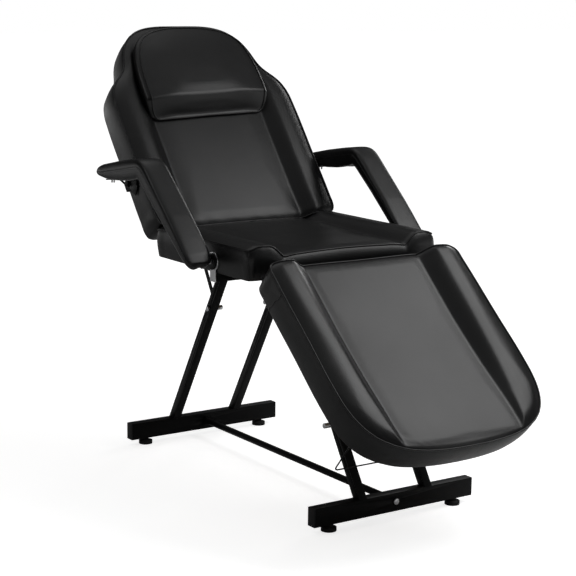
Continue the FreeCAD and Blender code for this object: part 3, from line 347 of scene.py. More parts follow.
def creased_piece(name, points, faces, creased):
    """A closed mesh with outward faces, and creased edges given as pairs and a crease."""
    corner = points[faces]
    fan = np.cross(corner[:, 1] - corner[:, 0], corner[:, 2] - corner[:, 0])
    fan = fan + np.cross(corner[:, 2] - corner[:, 0], corner[:, 3] - corner[:, 0])
    if ((corner.mean(axis=1) - points.mean(axis=0)) * fan).sum() < 0:
        faces = faces[:, ::-1]
    piece = vinyl_piece(name, points, faces.tolist())
    mesh = piece.data
    pairs = np.zeros(len(mesh.edges) * 2, int)
    mesh.edges.foreach_get("vertices", pairs)
    keys = np.sort(pairs.reshape(-1, 2), axis=1) @ (len(points), 1)
    values = np.zeros(len(keys), np.float32)
    for ends, crease in creased:
        values[np.isin(keys, np.sort(ends, axis=1) @ (len(points), 1))] = crease
    mesh.attributes.new("crease_edge", "FLOAT", "EDGE").data.foreach_set("value", values)
    return piece


def grid_faces(index):
    """Quads of a grid of vertex numbers."""
    return np.stack([index[:-1, :-1], index[1:, :-1], index[1:, 1:], index[:-1, 1:]], axis=-1).reshape(-1, 4)


def cushion_shell(name, axes, top, bands, base, channels):
    """A cushion as one closed quad mesh: top grid, bands of rings down the side and under the rim,
    and a base grid. Top and base share their count of rows and columns, so the rings join them."""
    rows, columns = top.shape[:2]
    count = rows * columns
    top_index = np.arange(count).reshape(rows, columns)
    base_index = top_index + count
    loop_size = 2 * (rows + columns) - 4
    ring_index = 2 * count + np.arange(len(bands) * loop_size).reshape(len(bands), loop_size)
    rings = np.vstack([rim(top_index)[None], ring_index, rim(base_index)[None]])
    rings = np.hstack([rings, rings[:, :1]])
    faces = np.vstack([grid_faces(top_index), grid_faces(base_index)[:, ::-1], grid_faces(rings.T)])
    points = np.vstack([top.reshape(-1, 3), base.reshape(-1, 3), np.asarray(bands).reshape(-1, 3)])
    creased = [(np.stack([rings[0, :-1], rings[0, 1:]], axis=1), welt_crease)]
    for column in channels:
        numbers = top_index[:, column]
        creased.append((np.stack([numbers[:-1], numbers[1:]], axis=1), channel_crease))
    return creased_piece(name, to_chair(axes, points), faces, creased), top_index, rings


def side_bands(loop, draw, bulge, power=0.7):
    """Rings down a cushion's side, from just under the welt to the underside: out by a half sine, and
    drawn in by the square of the way down."""
    normal = outward(loop)
    rings = []
    for f in side_shares:
        out = bulge * np.sin(math.pi * f ** power) - draw * f * f + np.zeros(len(loop))
        rings.append(np.column_stack([loop[:, :2] + normal * out[:, None], loop[:, 2] * (1 - f)]))
    return rings


def board_bands(end, half, rows, columns):
    """Lip and floor of the pocket that a cushion's board fills, from the board's inset to its end."""
    s = np.linspace(board_inset, end, rows)[:, None]
    y = np.linspace(-half, half, columns)[None]
    plan = np.stack(np.broadcast_arrays(s, y), axis=-1)
    pocket = board_height + pocket_gap
    floor = np.dstack([plan, np.full((rows, columns), pocket)])
    return rim(floor) - (0, 0, pocket), floor


def stuff(piece, sewn, cap):
    """Cloth simulation: the foam blows the cover out while its seams and underside are held. The vinyl
    is stiff to bending, so it stays taut. No point moves further than the cap."""
    scene = bpy.context.scene
    group = piece.vertex_groups.new(name="sewn")
    for weight in np.unique(sewn):
        if weight > 0:
            group.add(np.flatnonzero(sewn == weight).tolist(), float(weight), "REPLACE")
    before = np.zeros(len(piece.data.vertices) * 3)
    piece.data.vertices.foreach_get("co", before)
    cloth = piece.modifiers.new("cover", "CLOTH")
    cloth.settings.quality = 4
    cloth.settings.mass = 0.4
    cloth.settings.tension_stiffness = 20.0
    cloth.settings.compression_stiffness = 20.0
    cloth.settings.bending_stiffness = 15.0
    cloth.settings.use_pressure = True
    cloth.settings.uniform_pressure_force = 4.0
    cloth.settings.vertex_group_mass = group.name
    cloth.settings.effector_weights.gravity = 0.0
    cloth.point_cache.frame_start = 1
    cloth.point_cache.frame_end = stuffing_frames
    for number in range(1, stuffing_frames + 1):
        scene.frame_set(number)
    blown = piece.evaluated_get(bpy.context.evaluated_depsgraph_get()).data
    after = np.zeros(len(blown.vertices) * 3)
    blown.vertices.foreach_get("co", after)
    piece.modifiers.remove(cloth)
    piece.vertex_groups.clear()
    move = (after - before).reshape(-1, 3)
    far = np.linalg.norm(move, axis=1)[:, None]
    print(piece.name, "moved at most", round(far.max() * 1000, 1), "mm")
    move *= cap / np.maximum(far, cap)
    piece.data.vertices.foreach_set("co", before + move.ravel())
    piece.data.update()
    scene.frame_set(1)


def finish_cushion(piece, body, node):
    """One subdivision, then the piece's place in the chair."""
    smooth = piece.modifiers.new("smooth", "SUBSURF")
    smooth.levels = 1
    smooth.render_levels = 1
    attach(piece, body)
    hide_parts(node)


def shown_points(piece):
    """Vertices of a piece with its modifiers."""
    shown = piece.evaluated_get(bpy.context.evaluated_depsgraph_get()).data
    points = np.zeros(len(shown.vertices) * 3)
    shown.vertices.foreach_get("co", points)
    return points.reshape(-1, 3)


def welt(name, line, radius, body, closed=True, sides=8):
    """A round cord under vinyl along a line: rings square to the line, each turned from the one before
    it as little as possible, so that the tube doesn't twist."""
    line = np.array(line)
    if closed:
        run = np.roll(line, -1, axis=0) - np.roll(line, 1, axis=0)
    else:
        run = np.gradient(line, axis=0)
    run /= np.linalg.norm(run, axis=1)[:, None]
    across = np.cross(run, (0.0, 1.0, 0.0))
    weak = np.linalg.norm(across, axis=1) < 0.3
    across[weak] = np.cross(run[weak], (0.0, 0.0, 1.0))
    across /= np.linalg.norm(across, axis=1)[:, None]
    for i in range(1, len(line)):
        side = across[i - 1] - run[i] * (across[i - 1] @ run[i])
        across[i] = side / np.linalg.norm(side)
    other = np.cross(run, across)
    turn = np.linspace(0, 2 * math.pi, sides, endpoint=False)
    rings = (line[:, None] + radius * (np.cos(turn)[None, :, None] * across[:, None]
                                       + np.sin(turn)[None, :, None] * other[:, None]))
    index = np.arange(len(line) * sides).reshape(len(line), sides)
    index = np.hstack([index, index[:, :1]])
    if closed:
        index = np.vstack([index, index[:1]])
    faces = grid_faces(index).tolist()
    if not closed:
        faces += [index[0, :-1].tolist(), index[-1, :-1].tolist()]
    sew_on(name, rings.reshape(-1, 3), faces, body)


def closed_piece(name, points, faces):
    """A piece in vinyl whose faces are turned to point out of its closed shape."""
    piece = vinyl_piece(name, points, faces)
    shape = bmesh.new()
    shape.from_mesh(piece.data)
    bmesh.ops.recalc_face_normals(shape, faces=shape.faces)
    shape.to_mesh(piece.data)
    shape.free()
    return piece


def sew_on(name, points, faces, body):
    """Piping or thread that moves with a body."""
    piece = closed_piece(name, points, faces)
    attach(piece, body)


def half_width(outline, near, far, s):
    """Half width of an outline at each place s, read from its side line."""
    line = smooth_curve(outline[near:far + 1], 400)
    return np.interp(s, line[:, 0], line[:, 1])


def pull_columns(plan, crease, until, fade, lean=0.0):
    """Moves one column of each half of a plan onto the channel's crease, and its neighbours in
    proportion, up to a place along the cushion, past which the columns go back to even ones."""
    columns = plan.shape[1]
    middle = columns // 2
    widest = abs(plan[..., 1]).max()
    at = int(round(crease / widest * middle))
    k = abs(np.arange(columns) - middle)
    hat = np.where(k <= at, k / at, (middle - k) / (middle - at))
    kept = np.clip((until + fade - plan[:, middle, 0]) / fade, 0, 1)
    for sign, column in ((1, middle + at), (-1, middle - at)):
        delta = (crease - sign * (lean * plan[:, column, 0] + plan[:, column, 1])) * kept
        side = (np.arange(columns) - middle) * sign > 0
        plan[:, side, 1] += sign * delta[:, None] * hat[side]
    return (middle - at, middle + at)


def channel_height(y, half, crease, crest, depth, sharp, dome=0.004, shoulder=0.34, edge=0.56):
    """Height across a cushion over its edge. On each side a roll: a quarter sine up over the shoulder's
    share of its width, a level crest, and from the edge a fall to the crease. The fall blends a half
    cosine, which lands softly, with a quarter cosine, which lands on a sharp crease. Between the rolls
    lies a slightly domed floor."""
    width = np.maximum(half - crease, 0.001)
    a = (half - abs(y)) / width
    full = np.clip(width / roll_width, 0, 1) ** 0.8 * crest
    rise = full * np.sin(np.pi / 2 * np.clip(a / shoulder, 0, 1))
    g = np.clip((a - edge) / (1 - edge), 0, 1)
    landing = (1 - sharp) * (0.5 + 0.5 * np.cos(np.pi * g)) + sharp * np.cos(np.pi / 2 * g)
    fall = (full + depth) * landing - depth
    floor = -depth + dome * (1 - np.exp(-np.clip(np.minimum(crease, half) - abs(y), 0, 1) / 0.03))
    return np.where(a < shoulder, rise, np.where(a < 1, fall, floor))


def smooth_step(value, low, high):
    """0 below low, 1 above high, and a smooth cubic between them."""
    f = np.clip((value - low) / (high - low), 0, 1)
    return f * f * (3 - 2 * f)


def proud(axes, loop, lift):
    """A seam's line lifted off its corner, half outwards and half up, so that its welt stands proud."""
    local = (loop - axes[0]) @ axes[1:].T
    return loop + lift * (np.column_stack([outward(local), np.ones(len(loop))]) @ axes[1:])


def puckers(loop_place, edge, length, depth, reach, seed):
    """Small gathers of the cover along a seam: a sum of sines of the place along it, strongest at
    the seam and dying away from it."""
    dice = np.random.default_rng(seed)
    waves = sum(dice.uniform(0.4, 1.0) * np.sin(loop_place * 2 * np.pi / (length * dice.uniform(0.6, 1.7))
                                                + dice.uniform(0, 6.3)) for _ in range(5))
    return depth * waves / 2.2 * np.exp(-edge / reach)


cushion_half = 0.305
# Where the rings of a side lie: closer at both edges, which keeps them sharp
side_shares = (0.06, 0.17, 0.29, 0.42, 0.55, 0.68, 0.8, 0.9, 0.965, 1.0)
side_ring_count = len(side_shares)
usual_crease = 0.188
roll_width = cushion_half - usual_crease
side_draw = 0.002
side_bulge = 0.004
grid_pitch = 0.007
board_height = 0.012
board_inset = 0.0197
pocket_gap = 0.0012
welt_radius = 0.0023
welt_lift = 0.0009
welt_crease = 0.7
channel_crease = 0.2
tack_weight = 0.92
stuffing_frames = 20


def sew_cushion(shell, free_rings, tacked, cap, body, node):
    """Stuffs a cover and finishes it. Its seams, underside and pocket are held, its top and free side
    rings swell, and its creases are tacked down. Gives the points as shown."""
    cover, index, bands = shell
    sewn = np.ones(len(cover.data.vertices))
    sewn[index[1:-1, 1:-1]] = 0.0
    sewn[bands[1:free_rings + 1, :-1]] = 0.0
    sewn[tacked] = tack_weight
    stuff(cover, sewn, cap)
    finish_cushion(cover, body, node)
    return shown_points(cover)


def rolled_cushion(name, body, node, axes, plan, height, columns, tacked_until, board_end, board_half, cap,
                   draw=side_draw, bulge=side_bulge, power=0.7, under=(0.03, 0.12, 0.5, 1.0)):
    """A cushion on a board, from its plan and the heights of its top: rings down the side and over the
    underside to the board's pocket, and a welt round the top."""
    rings = side_bands(rim(np.dstack([plan, height])), draw, bulge, power)
    lip, floor = board_bands(board_end, board_half, *plan.shape[:2])
    rings += [rings[-1] * (1 - f) + lip * f for f in under]
    shell = cushion_shell(name, axes, np.dstack([plan, height]), rings, floor, columns)
    cover, index, bands = shell
    tacked = index[plan[:, columns[0], 0] < tacked_until][:, list(columns)]
    shown = sew_cushion(shell, side_ring_count - 1, tacked, cap, body, node)
    welt(name.replace("cover", "welt"), proud(axes, shown[bands[0, :-1]], welt_lift), welt_radius, body)
    return cover, shown, bands


seat_length = 0.498
seat_rise = 0.080
seat_seam_radius = 0.0012
seat_rear = joint_place["back_recline"] + Vector((0.013, 0.0, -0.022))
seat_axes = side_axes(seat_rear.x, seat_rear.z, 0.0)
seat_outline = [(0.002, 0.0), (0.002, 0.27), (0.0025, 0.288), (0.008, 0.2985), (0.02, 0.3035),
                (0.06, cushion_half), (0.25, cushion_half), (0.458, cushion_half), (0.4755, 0.3046),
                (0.4845, 0.3015), (0.488, 0.2945), (0.4895, 0.28), (0.4895, 0.0)]
seat_corners = (3, 9)
seat_plan = plan_grid(seat_outline, *seat_corners, grid_pitch)
seat_crease = 0.2
seat_columns = pull_columns(seat_plan, seat_crease, until=1.0, fade=0.1)
s, y = seat_plan[..., 0], seat_plan[..., 1]
seat_half = half_width(seat_outline, *seat_corners, s)
# The channel is 19 mm deep at the front and runs out towards the back of the chair
seat_depth = 0.019 - 0.014 * np.clip((0.36 - s) / 0.36, 0, 1) ** 1.3
seat_height = channel_height(y, seat_half, seat_crease, crest=0.014, depth=seat_depth, sharp=0.7, dome=0.007)
seat_height -= 0.004 * np.clip((s - 0.480) / 0.0125, 0, 1) ** 2
rear_fall = np.clip((0.035 - s) / 0.035, 0, 1)
seat_height -= 0.014 * rear_fall ** 2
seat_height += puckers(y, s, length=0.05, depth=0.0035, reach=0.03, seed=3) * (1 - rear_fall ** 4)
# The front swells out under its seam, the sides and the rear hardly
front_share = np.clip((rim(seat_plan)[:, 0] - 0.475) / 0.015, 0, 1)
_, seat_shown, seat_bands = rolled_cushion(
    "seat_cover", "stand", "seat_cushion", seat_axes, seat_plan, seat_rise + seat_height, seat_columns,
    tacked_until=seat_length, board_end=seat_length - board_inset, board_half=cushion_half - board_inset,
    cap=0.003, bulge=side_bulge + 0.006 * front_share, power=0.7 + 0.1 * front_share)
# At the front corners the side panels meet the front panel in upright seams
rows, columns = seat_plan.shape[:2]
for name, number in (("seat_corner_seam_right", rows + 2 * columns - 3),
                     ("seat_corner_seam_left", rows + columns - 2)):
    column = seat_bands[1:side_ring_count + 1, number]
    welt(name, seat_shown[column], seat_seam_radius, "stand", closed=False)

# Back cushion: the same make, 678 mm long, with shoulders cut in towards the head.
# Its channel is open towards the seat, and the rolls run flat under the pillow.
back_length = 0.678
back_rise = 0.090
back_corner = joint_place["back_recline"] + Vector((0.036, 0.0, 0.0666))
back_axes = side_axes(back_corner.x, back_corner.z, joint_limit["back_recline"], forward=-1.0)
back_axes[0] = back_axes[0] - back_axes[3] * back_rise
back_outline = [(0.0, 0.0), (0.0, 0.265), (0.0008, 0.285), (0.0065, 0.2985), (0.02, 0.3035),
                (0.06, cushion_half), (0.2, cushion_half), (0.385, cushion_half), (0.418, 0.3035),
                (0.443, 0.2985), (0.465, 0.29), (0.484, 0.277), (0.503, 0.2585), (0.5225, 0.2415),
                (0.545, 0.2305), (0.572, 0.2225), (0.6, 0.2115), (0.622, 0.199), (0.643, 0.179),
                (0.6595, 0.153), (0.6705, 0.122), (0.6765, 0.083), (back_length, 0.04), (back_length, 0.0)]
back_corners = (3, 18)
back_plan = plan_grid(back_outline, *back_corners, grid_pitch)
back_crease = 0.19
back_columns = pull_columns(back_plan, back_crease, until=0.5, fade=0.08)
s, y = back_plan[..., 0], back_plan[..., 1]
back_half = half_width(back_outline, *back_corners, s)
back_edge = edge_distance(s, y, back_outline[back_corners[0]:])
head_fade = smooth_step(s, 0.46, 0.62)
plain_roll = channel_height(y, back_half, back_crease, crest=0.013, depth=0.015, sharp=0.2, shoulder=0.42)
head_crown = 0.011 * np.sin(np.pi / 2 * np.clip(back_edge / 0.08, 0, 1)) - 0.013 * (1 - np.exp(
    -np.clip(back_edge - 0.08, 0, 1) / 0.05))
back_height = plain_roll * (1 - head_fade) + head_crown * head_fade
foot_fall = np.clip((0.018 - s) / 0.018, 0, 1)
back_height -= 0.007 * foot_fall ** 2
back_height += puckers(y, s, length=0.045, depth=0.0009, reach=0.025, seed=7) * (1 - foot_fall)
back_cover = rolled_cushion(
    "back_cover", "back", "back_cushion", back_axes, back_plan, back_rise + back_height, back_columns,
    tacked_until=0.5, board_end=0.5953, board_half=cushion_half - 0.1137, cap=0.002,
    under=(0.02, 0.1, 0.4, 0.7, 1.0))[0]

# Leg rest cushion: 614 mm long with a rounded foot end. Its channel is open towards the seat
# and the rolls run out where the sides curve in, so the foot end is nearly flat.
leg_length = 0.6135
leg_rise = 0.0855
leg_seam_radius = 0.0013
leg_crest = 0.012
leg_depth = 0.021
leg_corner = joint_place["leg_rest_lift"] + Vector((0.0155, 0.0, 0.0103))
leg_axes = side_axes(leg_corner.x, leg_corner.z, joint_limit["leg_rest_lift"])
leg_outline = [(0.0, 0.0), (0.0, 0.272), (0.0008, 0.2895), (0.0052, 0.2992), (0.016, 0.3038),
               (0.05, cushion_half), (0.24, cushion_half), (0.39, cushion_half), (0.44, 0.302),
               (0.487, 0.2925), (0.525, 0.2755), (0.553, 0.2535), (0.574, 0.226), (0.59, 0.193),
               (0.601, 0.155), (0.608, 0.11), (0.612, 0.06), (leg_length, 0.0)]
leg_corners = (3, 12)
leg_plan = plan_grid(leg_outline, *leg_corners, grid_pitch)
leg_crease = 0.186
# The channel is sewn a little askew, by 11 mm at the foot end, as in the photograph
leg_lean = 0.02
leg_columns = pull_columns(leg_plan, leg_crease, until=0.545, fade=0.05, lean=leg_lean)
s, y = leg_plan[..., 0], leg_plan[..., 1]
leg_half = half_width(leg_outline, leg_corners[0], leg_corners[1] + 1, s)
leg_edge = edge_distance(s, y, leg_outline[leg_corners[0]:])
foot_fade = smooth_step(s, 0.18, 0.6)
leg_height = 0.006 * smooth_step(s, 0.35, 0.58) + channel_height(
    y, leg_half, leg_crease - leg_lean * s * np.sign(y), leg_crest, leg_depth * (1 - 0.85 * foot_fade),
    sharp=0.35 + 0.4 * smooth_step(s, 0.1, 0.5), dome=0.002, shoulder=0.34 + 0.14 * smooth_step(s, 0.05, 0.3),
    edge=0.54 + 0.12 * smooth_step(s, 0.05, 0.4))
leg_height = np.minimum(leg_height, leg_crest * np.sin(np.pi / 2 * np.clip(leg_edge / 0.035, 0, 1)))
end_fall = np.clip((0.012 - s) / 0.012, 0, 1)
leg_height -= 0.004 * end_fall ** 2
leg_height += puckers(y, s, length=0.04, depth=0.0005, reach=0.03, seed=12) * (1 - end_fall)
# The sides stand upright, the foot end is drawn in towards the board, and the end at the hinge is flat
leg_rim = rim(leg_plan)[:, 0]
foot_share = smooth_step(leg_rim, 0.5, 0.6)
hinge_share = 1 - smooth_step(leg_rim, 0.0, 0.03)
_, leg_shown, leg_bands = rolled_cushion(
    "leg_rest_cover", "leg_rest", "leg_cushion", leg_axes, leg_plan, leg_rise + leg_height, leg_columns,
    tacked_until=0.56, board_end=0.5273, board_half=cushion_half - 0.0597, cap=0.0015,
    draw=side_draw + 0.006 * foot_share, bulge=side_bulge - 0.003 * hinge_share)
# A panel of its own covers each side's corner at the hinge, joined to the side by an upright seam
panel_end = 0.092
panel_row = int(np.argmin(abs(leg_plan[:, -1, 0] - panel_end)))
for name, number, step in (("leg_panel_seam_left", leg_plan.shape[1] - 1 + panel_row, -0.25),
                           ("leg_panel_seam_right", len(leg_rim) - panel_row, 0.25)):
    column = [leg_bands[i, number + int(round(step * (i - 1)))] for i in range(1, side_ring_count + 1)]
    welt(name, leg_shown[column], leg_seam_radius, "leg_rest", closed=False)

# Head pillow: a wedge of foam, 400 mm wide, that lies in the back's channel.
# Its face breaks at a fold and falls to a thin lower edge, and a welt runs round the face.
pillow_front = 0.360
pillow_fold = 0.411
pillow_end = 0.652
pillow_pitch = 0.006
pillow_welt_radius = 0.0021
pillow_outline = [(pillow_front, 0.0), (pillow_front, 0.15), (0.3615, 0.175), (0.368, 0.188),
                  (0.382, 0.195), (0.411, 0.199), (0.46, 0.199), (0.523, 0.1945), (0.56, 0.187),
                  (0.594, 0.174), (0.619, 0.153), (0.636, 0.125), (0.646, 0.086), (0.651, 0.045),
                  (pillow_end, 0.0)]
pillow_corners = (3, 11)
pillow_plan = plan_grid(pillow_outline, *pillow_corners, pillow_pitch)
s, y = pillow_plan[..., 0].copy(), pillow_plan[..., 1].copy()
pillow_edge = edge_distance(s, y, pillow_outline[pillow_corners[0]:])
# It lies a little askew, the front edge turned by under three degrees
pillow_turn = 0.045
pillow_plan[..., 0] += pillow_turn * y * np.clip((pillow_end - s) / 0.25, 0, 1)
shown_back = back_cover.evaluated_get(bpy.context.evaluated_depsgraph_get()).data
back_surface = BVHTree.FromPolygons([Vector(p) for p in shown_points(back_cover)],
                                    [tuple(face.vertices) for face in shown_back.polygons])
down = Vector(-back_axes[3])


def rest_height(plan):
    """Height of the back's cover under each plan point, found by a ray square to the back."""
    flat = to_chair(back_axes, np.dstack([plan, np.full(plan.shape[:2], 0.2)])).reshape(-1, 3)
    hits = [back_surface.ray_cast(Vector(point), down)[3] for point in flat]
    return 0.2 - np.array(hits, float).reshape(plan.shape[:2])


pillow_gap = 0.0008
pillow_edge_height = 0.006
wedge = np.clip((s - pillow_front) / (pillow_fold - pillow_front), 0, 1)
face_height = (back_rise - 0.012) * (1 - wedge) + (back_rise + 0.032) * wedge
dome = 0.012 * np.sin(np.pi / 2 * np.clip(pillow_edge / 0.1, 0, 1)) * np.clip(wedge * 1.1, 0, 1)
pillow_base_plan = pillow_plan * (1.0, 1.06)
pillow_base_height = rest_height(pillow_base_plan) + pillow_gap
pillow_top = np.dstack([pillow_plan, np.maximum(face_height + dome, pillow_base_height + pillow_edge_height)])
pillow_base = np.dstack([pillow_base_plan, pillow_base_height])
upper, lower = rim(pillow_top), rim(pillow_base)
pillow_out = outward(upper)
pillow_rings = []
for f in np.linspace(0, 1, 8)[1:-1]:
    ring = upper * (1 - f) + lower * f
    ring[:, :2] += pillow_out * 0.01 * math.sin(math.pi * f ** 0.65) * np.clip(
        (upper[:, 2] - lower[:, 2]) / 0.03, 0, 1)[:, None]
    pillow_rings.append(ring)
pillow_shell = cushion_shell("head_pillow_cover", back_axes, pillow_top, pillow_rings, pillow_base, ())
pillow_shown = sew_cushion(pillow_shell, len(pillow_rings), tacked=[], cap=0.003, body="pillow",
                           node="head_pillow")
pillow_seam = pillow_shown[pillow_shell[2][0, :-1]]
welt("pillow_face_welt", proud(back_axes, pillow_seam, welt_lift), pillow_welt_radius, "pillow")

# Armrest pads: foam around a bent steel bar, 80 mm wide, in vinyl. A welt and a row of stitches run
# round the pad where its domed top meets the sides. The top is level up to the rear tip, while the
# underside rises to it, and towards the pivot the pad gets thinner.
arm_pivot = joint_place["arm_swing_left"]
arm_tip = arm_pivot + Vector((-0.493, 0.0, 0.193))
arm_bend = arm_pivot + Vector((-0.241, 0.0, 0.234))
arm_foot = arm_pivot + Vector((0.027, 0.0, 0.005))
arm_inner = 0.322
arm_width = 0.08
arm_length = 0.605
arm_ring_count = 90
arm_bend_radius = 0.048
arm_welt_radius = 0.0012


def arm_centre_line():
    """Top edge line of the pad in the side view: two straights joined by an arc of 48 mm radius."""
    tip, bend, foot = (np.array([p.x, p.z]) for p in (arm_tip, arm_bend, arm_foot))
    a = (bend - tip) / np.linalg.norm(bend - tip)
    b = (foot - bend) / np.linalg.norm(foot - bend)
    turn = math.acos(a @ b)
    cut = arm_bend_radius * math.tan(turn / 2)
    normal = np.array([-a[1], a[0]])
    centre = bend - a * cut - normal * arm_bend_radius
    angle = np.linspace(0, turn, 24)[:, None]
    arc = centre + arm_bend_radius * (normal * np.cos(angle) + a * np.sin(angle))
    return np.vstack([tip, arc, foot])


arm_line = even_line(arm_centre_line(), arm_ring_count)
arm_run = np.gradient(arm_line, axis=0)
arm_run /= np.linalg.norm(arm_run, axis=1)[:, None]
arm_up = np.stack([-arm_run[:, 1], arm_run[:, 0]], axis=1)
arm_travel = np.linspace(0, arm_length, arm_ring_count)


def along_arm(*rows):
    """Values at the rings of a pad, from rows of a place along it and a value there."""
    return np.interp(arm_travel, *np.array(rows).T)


# Heights over the bar's line: the roof of the bar's groove, the underside, the lower edge of the
# outer and the inner side, the seam at the top of the sides, and the top's crown
arm_levels = np.stack([
    along_arm((0, -0.0015), (0.077, -0.0155), (0.156, -0.02), (0.233, -0.0215), (0.605, -0.0215)),
    along_arm((0, -0.005), (0.015, -0.012), (0.058, -0.0225), (0.116, -0.03), (0.173, -0.0345),
              (0.235, -0.033), (0.285, -0.029), (0.605, -0.029)),
    along_arm((0, -0.001), (0.015, -0.008), (0.058, -0.02), (0.116, -0.029), (0.173, -0.034),
              (0.235, -0.033), (0.285, -0.027), (0.385, -0.025), (0.5, -0.02), (0.59, -0.016),
              (0.605, -0.012)),
    along_arm((0, -0.002), (0.015, -0.009), (0.058, -0.02), (0.116, -0.03), (0.173, -0.035),
              (0.235, -0.032), (0.285, -0.016), (0.385, -0.011), (0.5, -0.015), (0.59, -0.015),
              (0.605, -0.012)),
    along_arm((0, 0.003), (0.03, 0.0), (0.05, -0.001), (0.158, 0.0), (0.231, 0.001), (0.285, 0.004),
              (0.385, 0.006), (0.5, 0.004), (0.58, -0.001), (0.605, -0.006)),
    along_arm((0, 0.010), (0.01, 0.018), (0.03, 0.0225), (0.108, 0.025), (0.18, 0.0245), (0.235, 0.0225),
              (0.29, 0.0225), (0.385, 0.018), (0.45, 0.016), (0.53, 0.010), (0.58, 0.005),
              (0.605, -0.002))])
narrow = along_arm((0, 0.84), (0.006, 0.93), (0.018, 0.98), (0.036, 1), (0.56, 1), (0.585, 0.96),
                   (0.597, 0.9), (0.605, 0.78))
# Section: across as a share of the width, then shares of the roof, underside, lower edge, seam, crown
arm_section = np.array([
    (0.0, 1, 0, 0, 0, 0), (0.2, 1, 0, 0, 0, 0), (0.212, 1, 0, 0, 0, 0), (0.214, 0, 1, 0, 0, 0),
    (0.226, 0, 1, 0, 0, 0), (0.38, 0, 0.8, 0.2, 0, 0), (0.465, 0, 0.3, 0.7, 0, 0),
    (0.497, 0, 0, 0.88, 0.12, 0), (0.508, 0, 0, 0.5, 0.5, 0), (0.506, 0, 0, 0.15, 0.85, 0),
    (0.5, 0, 0, 0, 1, 0), (0.501, 0, 0, 0, 0.86, 0.14), (0.492, 0, 0, 0, 0.6, 0.4),
    (0.46, 0, 0, 0, 0.33, 0.67), (0.4, 0, 0, 0, 0.14, 0.86), (0.31, 0, 0, 0, 0.05, 0.95),
    (0.17, 0, 0, 0, 0.01, 0.99)])
arm_section = np.vstack([arm_section, [(0.0, 0, 0, 0, 0, 1)], arm_section[:0:-1] * (-1, 1, 1, 1, 1, 1)])
seam_place = 10


def stitches(name, line, body, length=0.0034, gap=0.0014, radius=0.00045):
    """A row of thread stitches on a line: each a short five-sided rod, thin at its two ends."""
    total = np.linalg.norm(np.diff(line, axis=0), axis=1).sum()
    count = int(total / (length + gap))
    ends = even_line(line, 2 * count + 1)
    start = ends[0:-1:2]
    run = ends[1::2] - start
    run *= (length / np.linalg.norm(run, axis=1))[:, None]
    unit = run / length
    side = np.cross(unit, (0.0, 0.6, 0.8))
    side /= np.linalg.norm(side, axis=1)[:, None]
    other = np.cross(unit, side)
    turn = np.linspace(0, 2 * math.pi, 5, endpoint=False)
    spoke = (np.cos(turn)[None, :, None] * side[:, None] + np.sin(turn)[None, :, None] * other[:, None])
    rings = np.stack([start[:, None] + run[:, None] * f + spoke * radius * r
                      for f, r in ((0.0, 0.35), (0.2, 1.0), (0.8, 1.0), (1.0, 0.35))], axis=1)
    index = np.arange(rings[..., 0].size).reshape(rings.shape[:3])
    wrapped = np.concatenate([index, index[:, :, :1]], axis=2)
    quads = np.stack([wrapped[:, :-1, :-1], wrapped[:, 1:, :-1], wrapped[:, 1:, 1:],
                      wrapped[:, :-1, 1:]], axis=-1)
    faces = quads.reshape(-1, 4).tolist() + index[:, 0].tolist() + index[:, 3].tolist()
    sew_on(name, rings.reshape(-1, 3), faces, body)


def arm_cover(name, side, body, node):
    """The pad as rings of its section along the line, its two ends closed by shrinking rings."""
    rings = []
    last = arm_ring_count - 1
    order = [(0, 0.35), (0, 0.75)] + [(i, 1.0) for i in range(last + 1)] + [(last, 0.75), (last, 0.35)]
    for i, shrink in order:
        levels = np.array(arm_levels[:, i])
        outer = arm_section[:, 0] > 0
        shares = arm_section[:, 1:].copy()
        edge = np.where(outer, levels[2], levels[3])
        height = shares[:, [0, 1, 3, 4]] @ levels[[0, 1, 4, 5]] + shares[:, 2] * edge
        across = arm_section[:, 0] * arm_width * narrow[i] * shrink
        middle = 0.5 * (levels[1] + levels[5])
        height = (height - middle) * shrink + middle
        push = 0.0
        if shrink < 1:
            push = (0.0035 if shrink < 0.5 else 0.002) * (-1 if i == 0 else 1)
        x = arm_line[i, 0] + arm_up[i, 0] * height + arm_run[i, 0] * push
        z = arm_line[i, 1] + arm_up[i, 1] * height + arm_run[i, 1] * push
        rings.append(np.column_stack([x, side * (arm_inner + arm_width / 2 + across), z]))
    rings = np.array(rings)
    count, size = rings.shape[:2]
    index = np.arange(count * size).reshape(count, size)
    wrapped = np.hstack([index, index[:, :1]])
    faces = grid_faces(wrapped).tolist()
    for ring, middle in ((index[0], count * size), (index[-1], count * size + 1)):
        faces += np.stack([ring, np.roll(ring, -1), np.full(size, middle)], axis=1).tolist()
    points = np.vstack([rings.reshape(-1, 3), rings[0].mean(axis=0)[None], rings[-1].mean(axis=0)[None]])
    piece = closed_piece(name, points, faces)
    finish_cushion(piece, body, node)
    shown = shown_points(piece)
    inner_place = size - seam_place
    seam = np.vstack([shown[index[:, seam_place]], shown[index[::-1, inner_place]]])
    seam = even_line(np.vstack([seam, seam[:1]]), 420)[:-1]
    welt(name.replace("cover", "welt"), seam, arm_welt_radius, body, sides=6)
    for word, place in (("outer", seam_place - 1), ("inner", inner_place + 1)):
        stitches(name.replace("cover", "stitches_" + word), shown[index[3:-3, place]], body)


arm_cover("arm_cover_left", 1.0, "arm_left", "arm_pad_left")
arm_cover("arm_cover_right", -1.0, "arm_right", "arm_pad_right")

# Studio: a pale floor that keeps the chair's soft shadow, a white backdrop, one soft box beyond
# the leg rest that its cover mirrors, four weaker ones around and overhead, and weak fill.
floor_glow = 0.76
floor_half = 40.0


def direct_rays(tree):
    """The ray's kinds, and a socket that is 1 for the camera's rays, also past a clear face."""
    ray = add_node(tree, "LightPath")
    return ray, combine(tree, "MAXIMUM", ray.outputs["Is Camera Ray"], ray.outputs["Is Transmission Ray"])


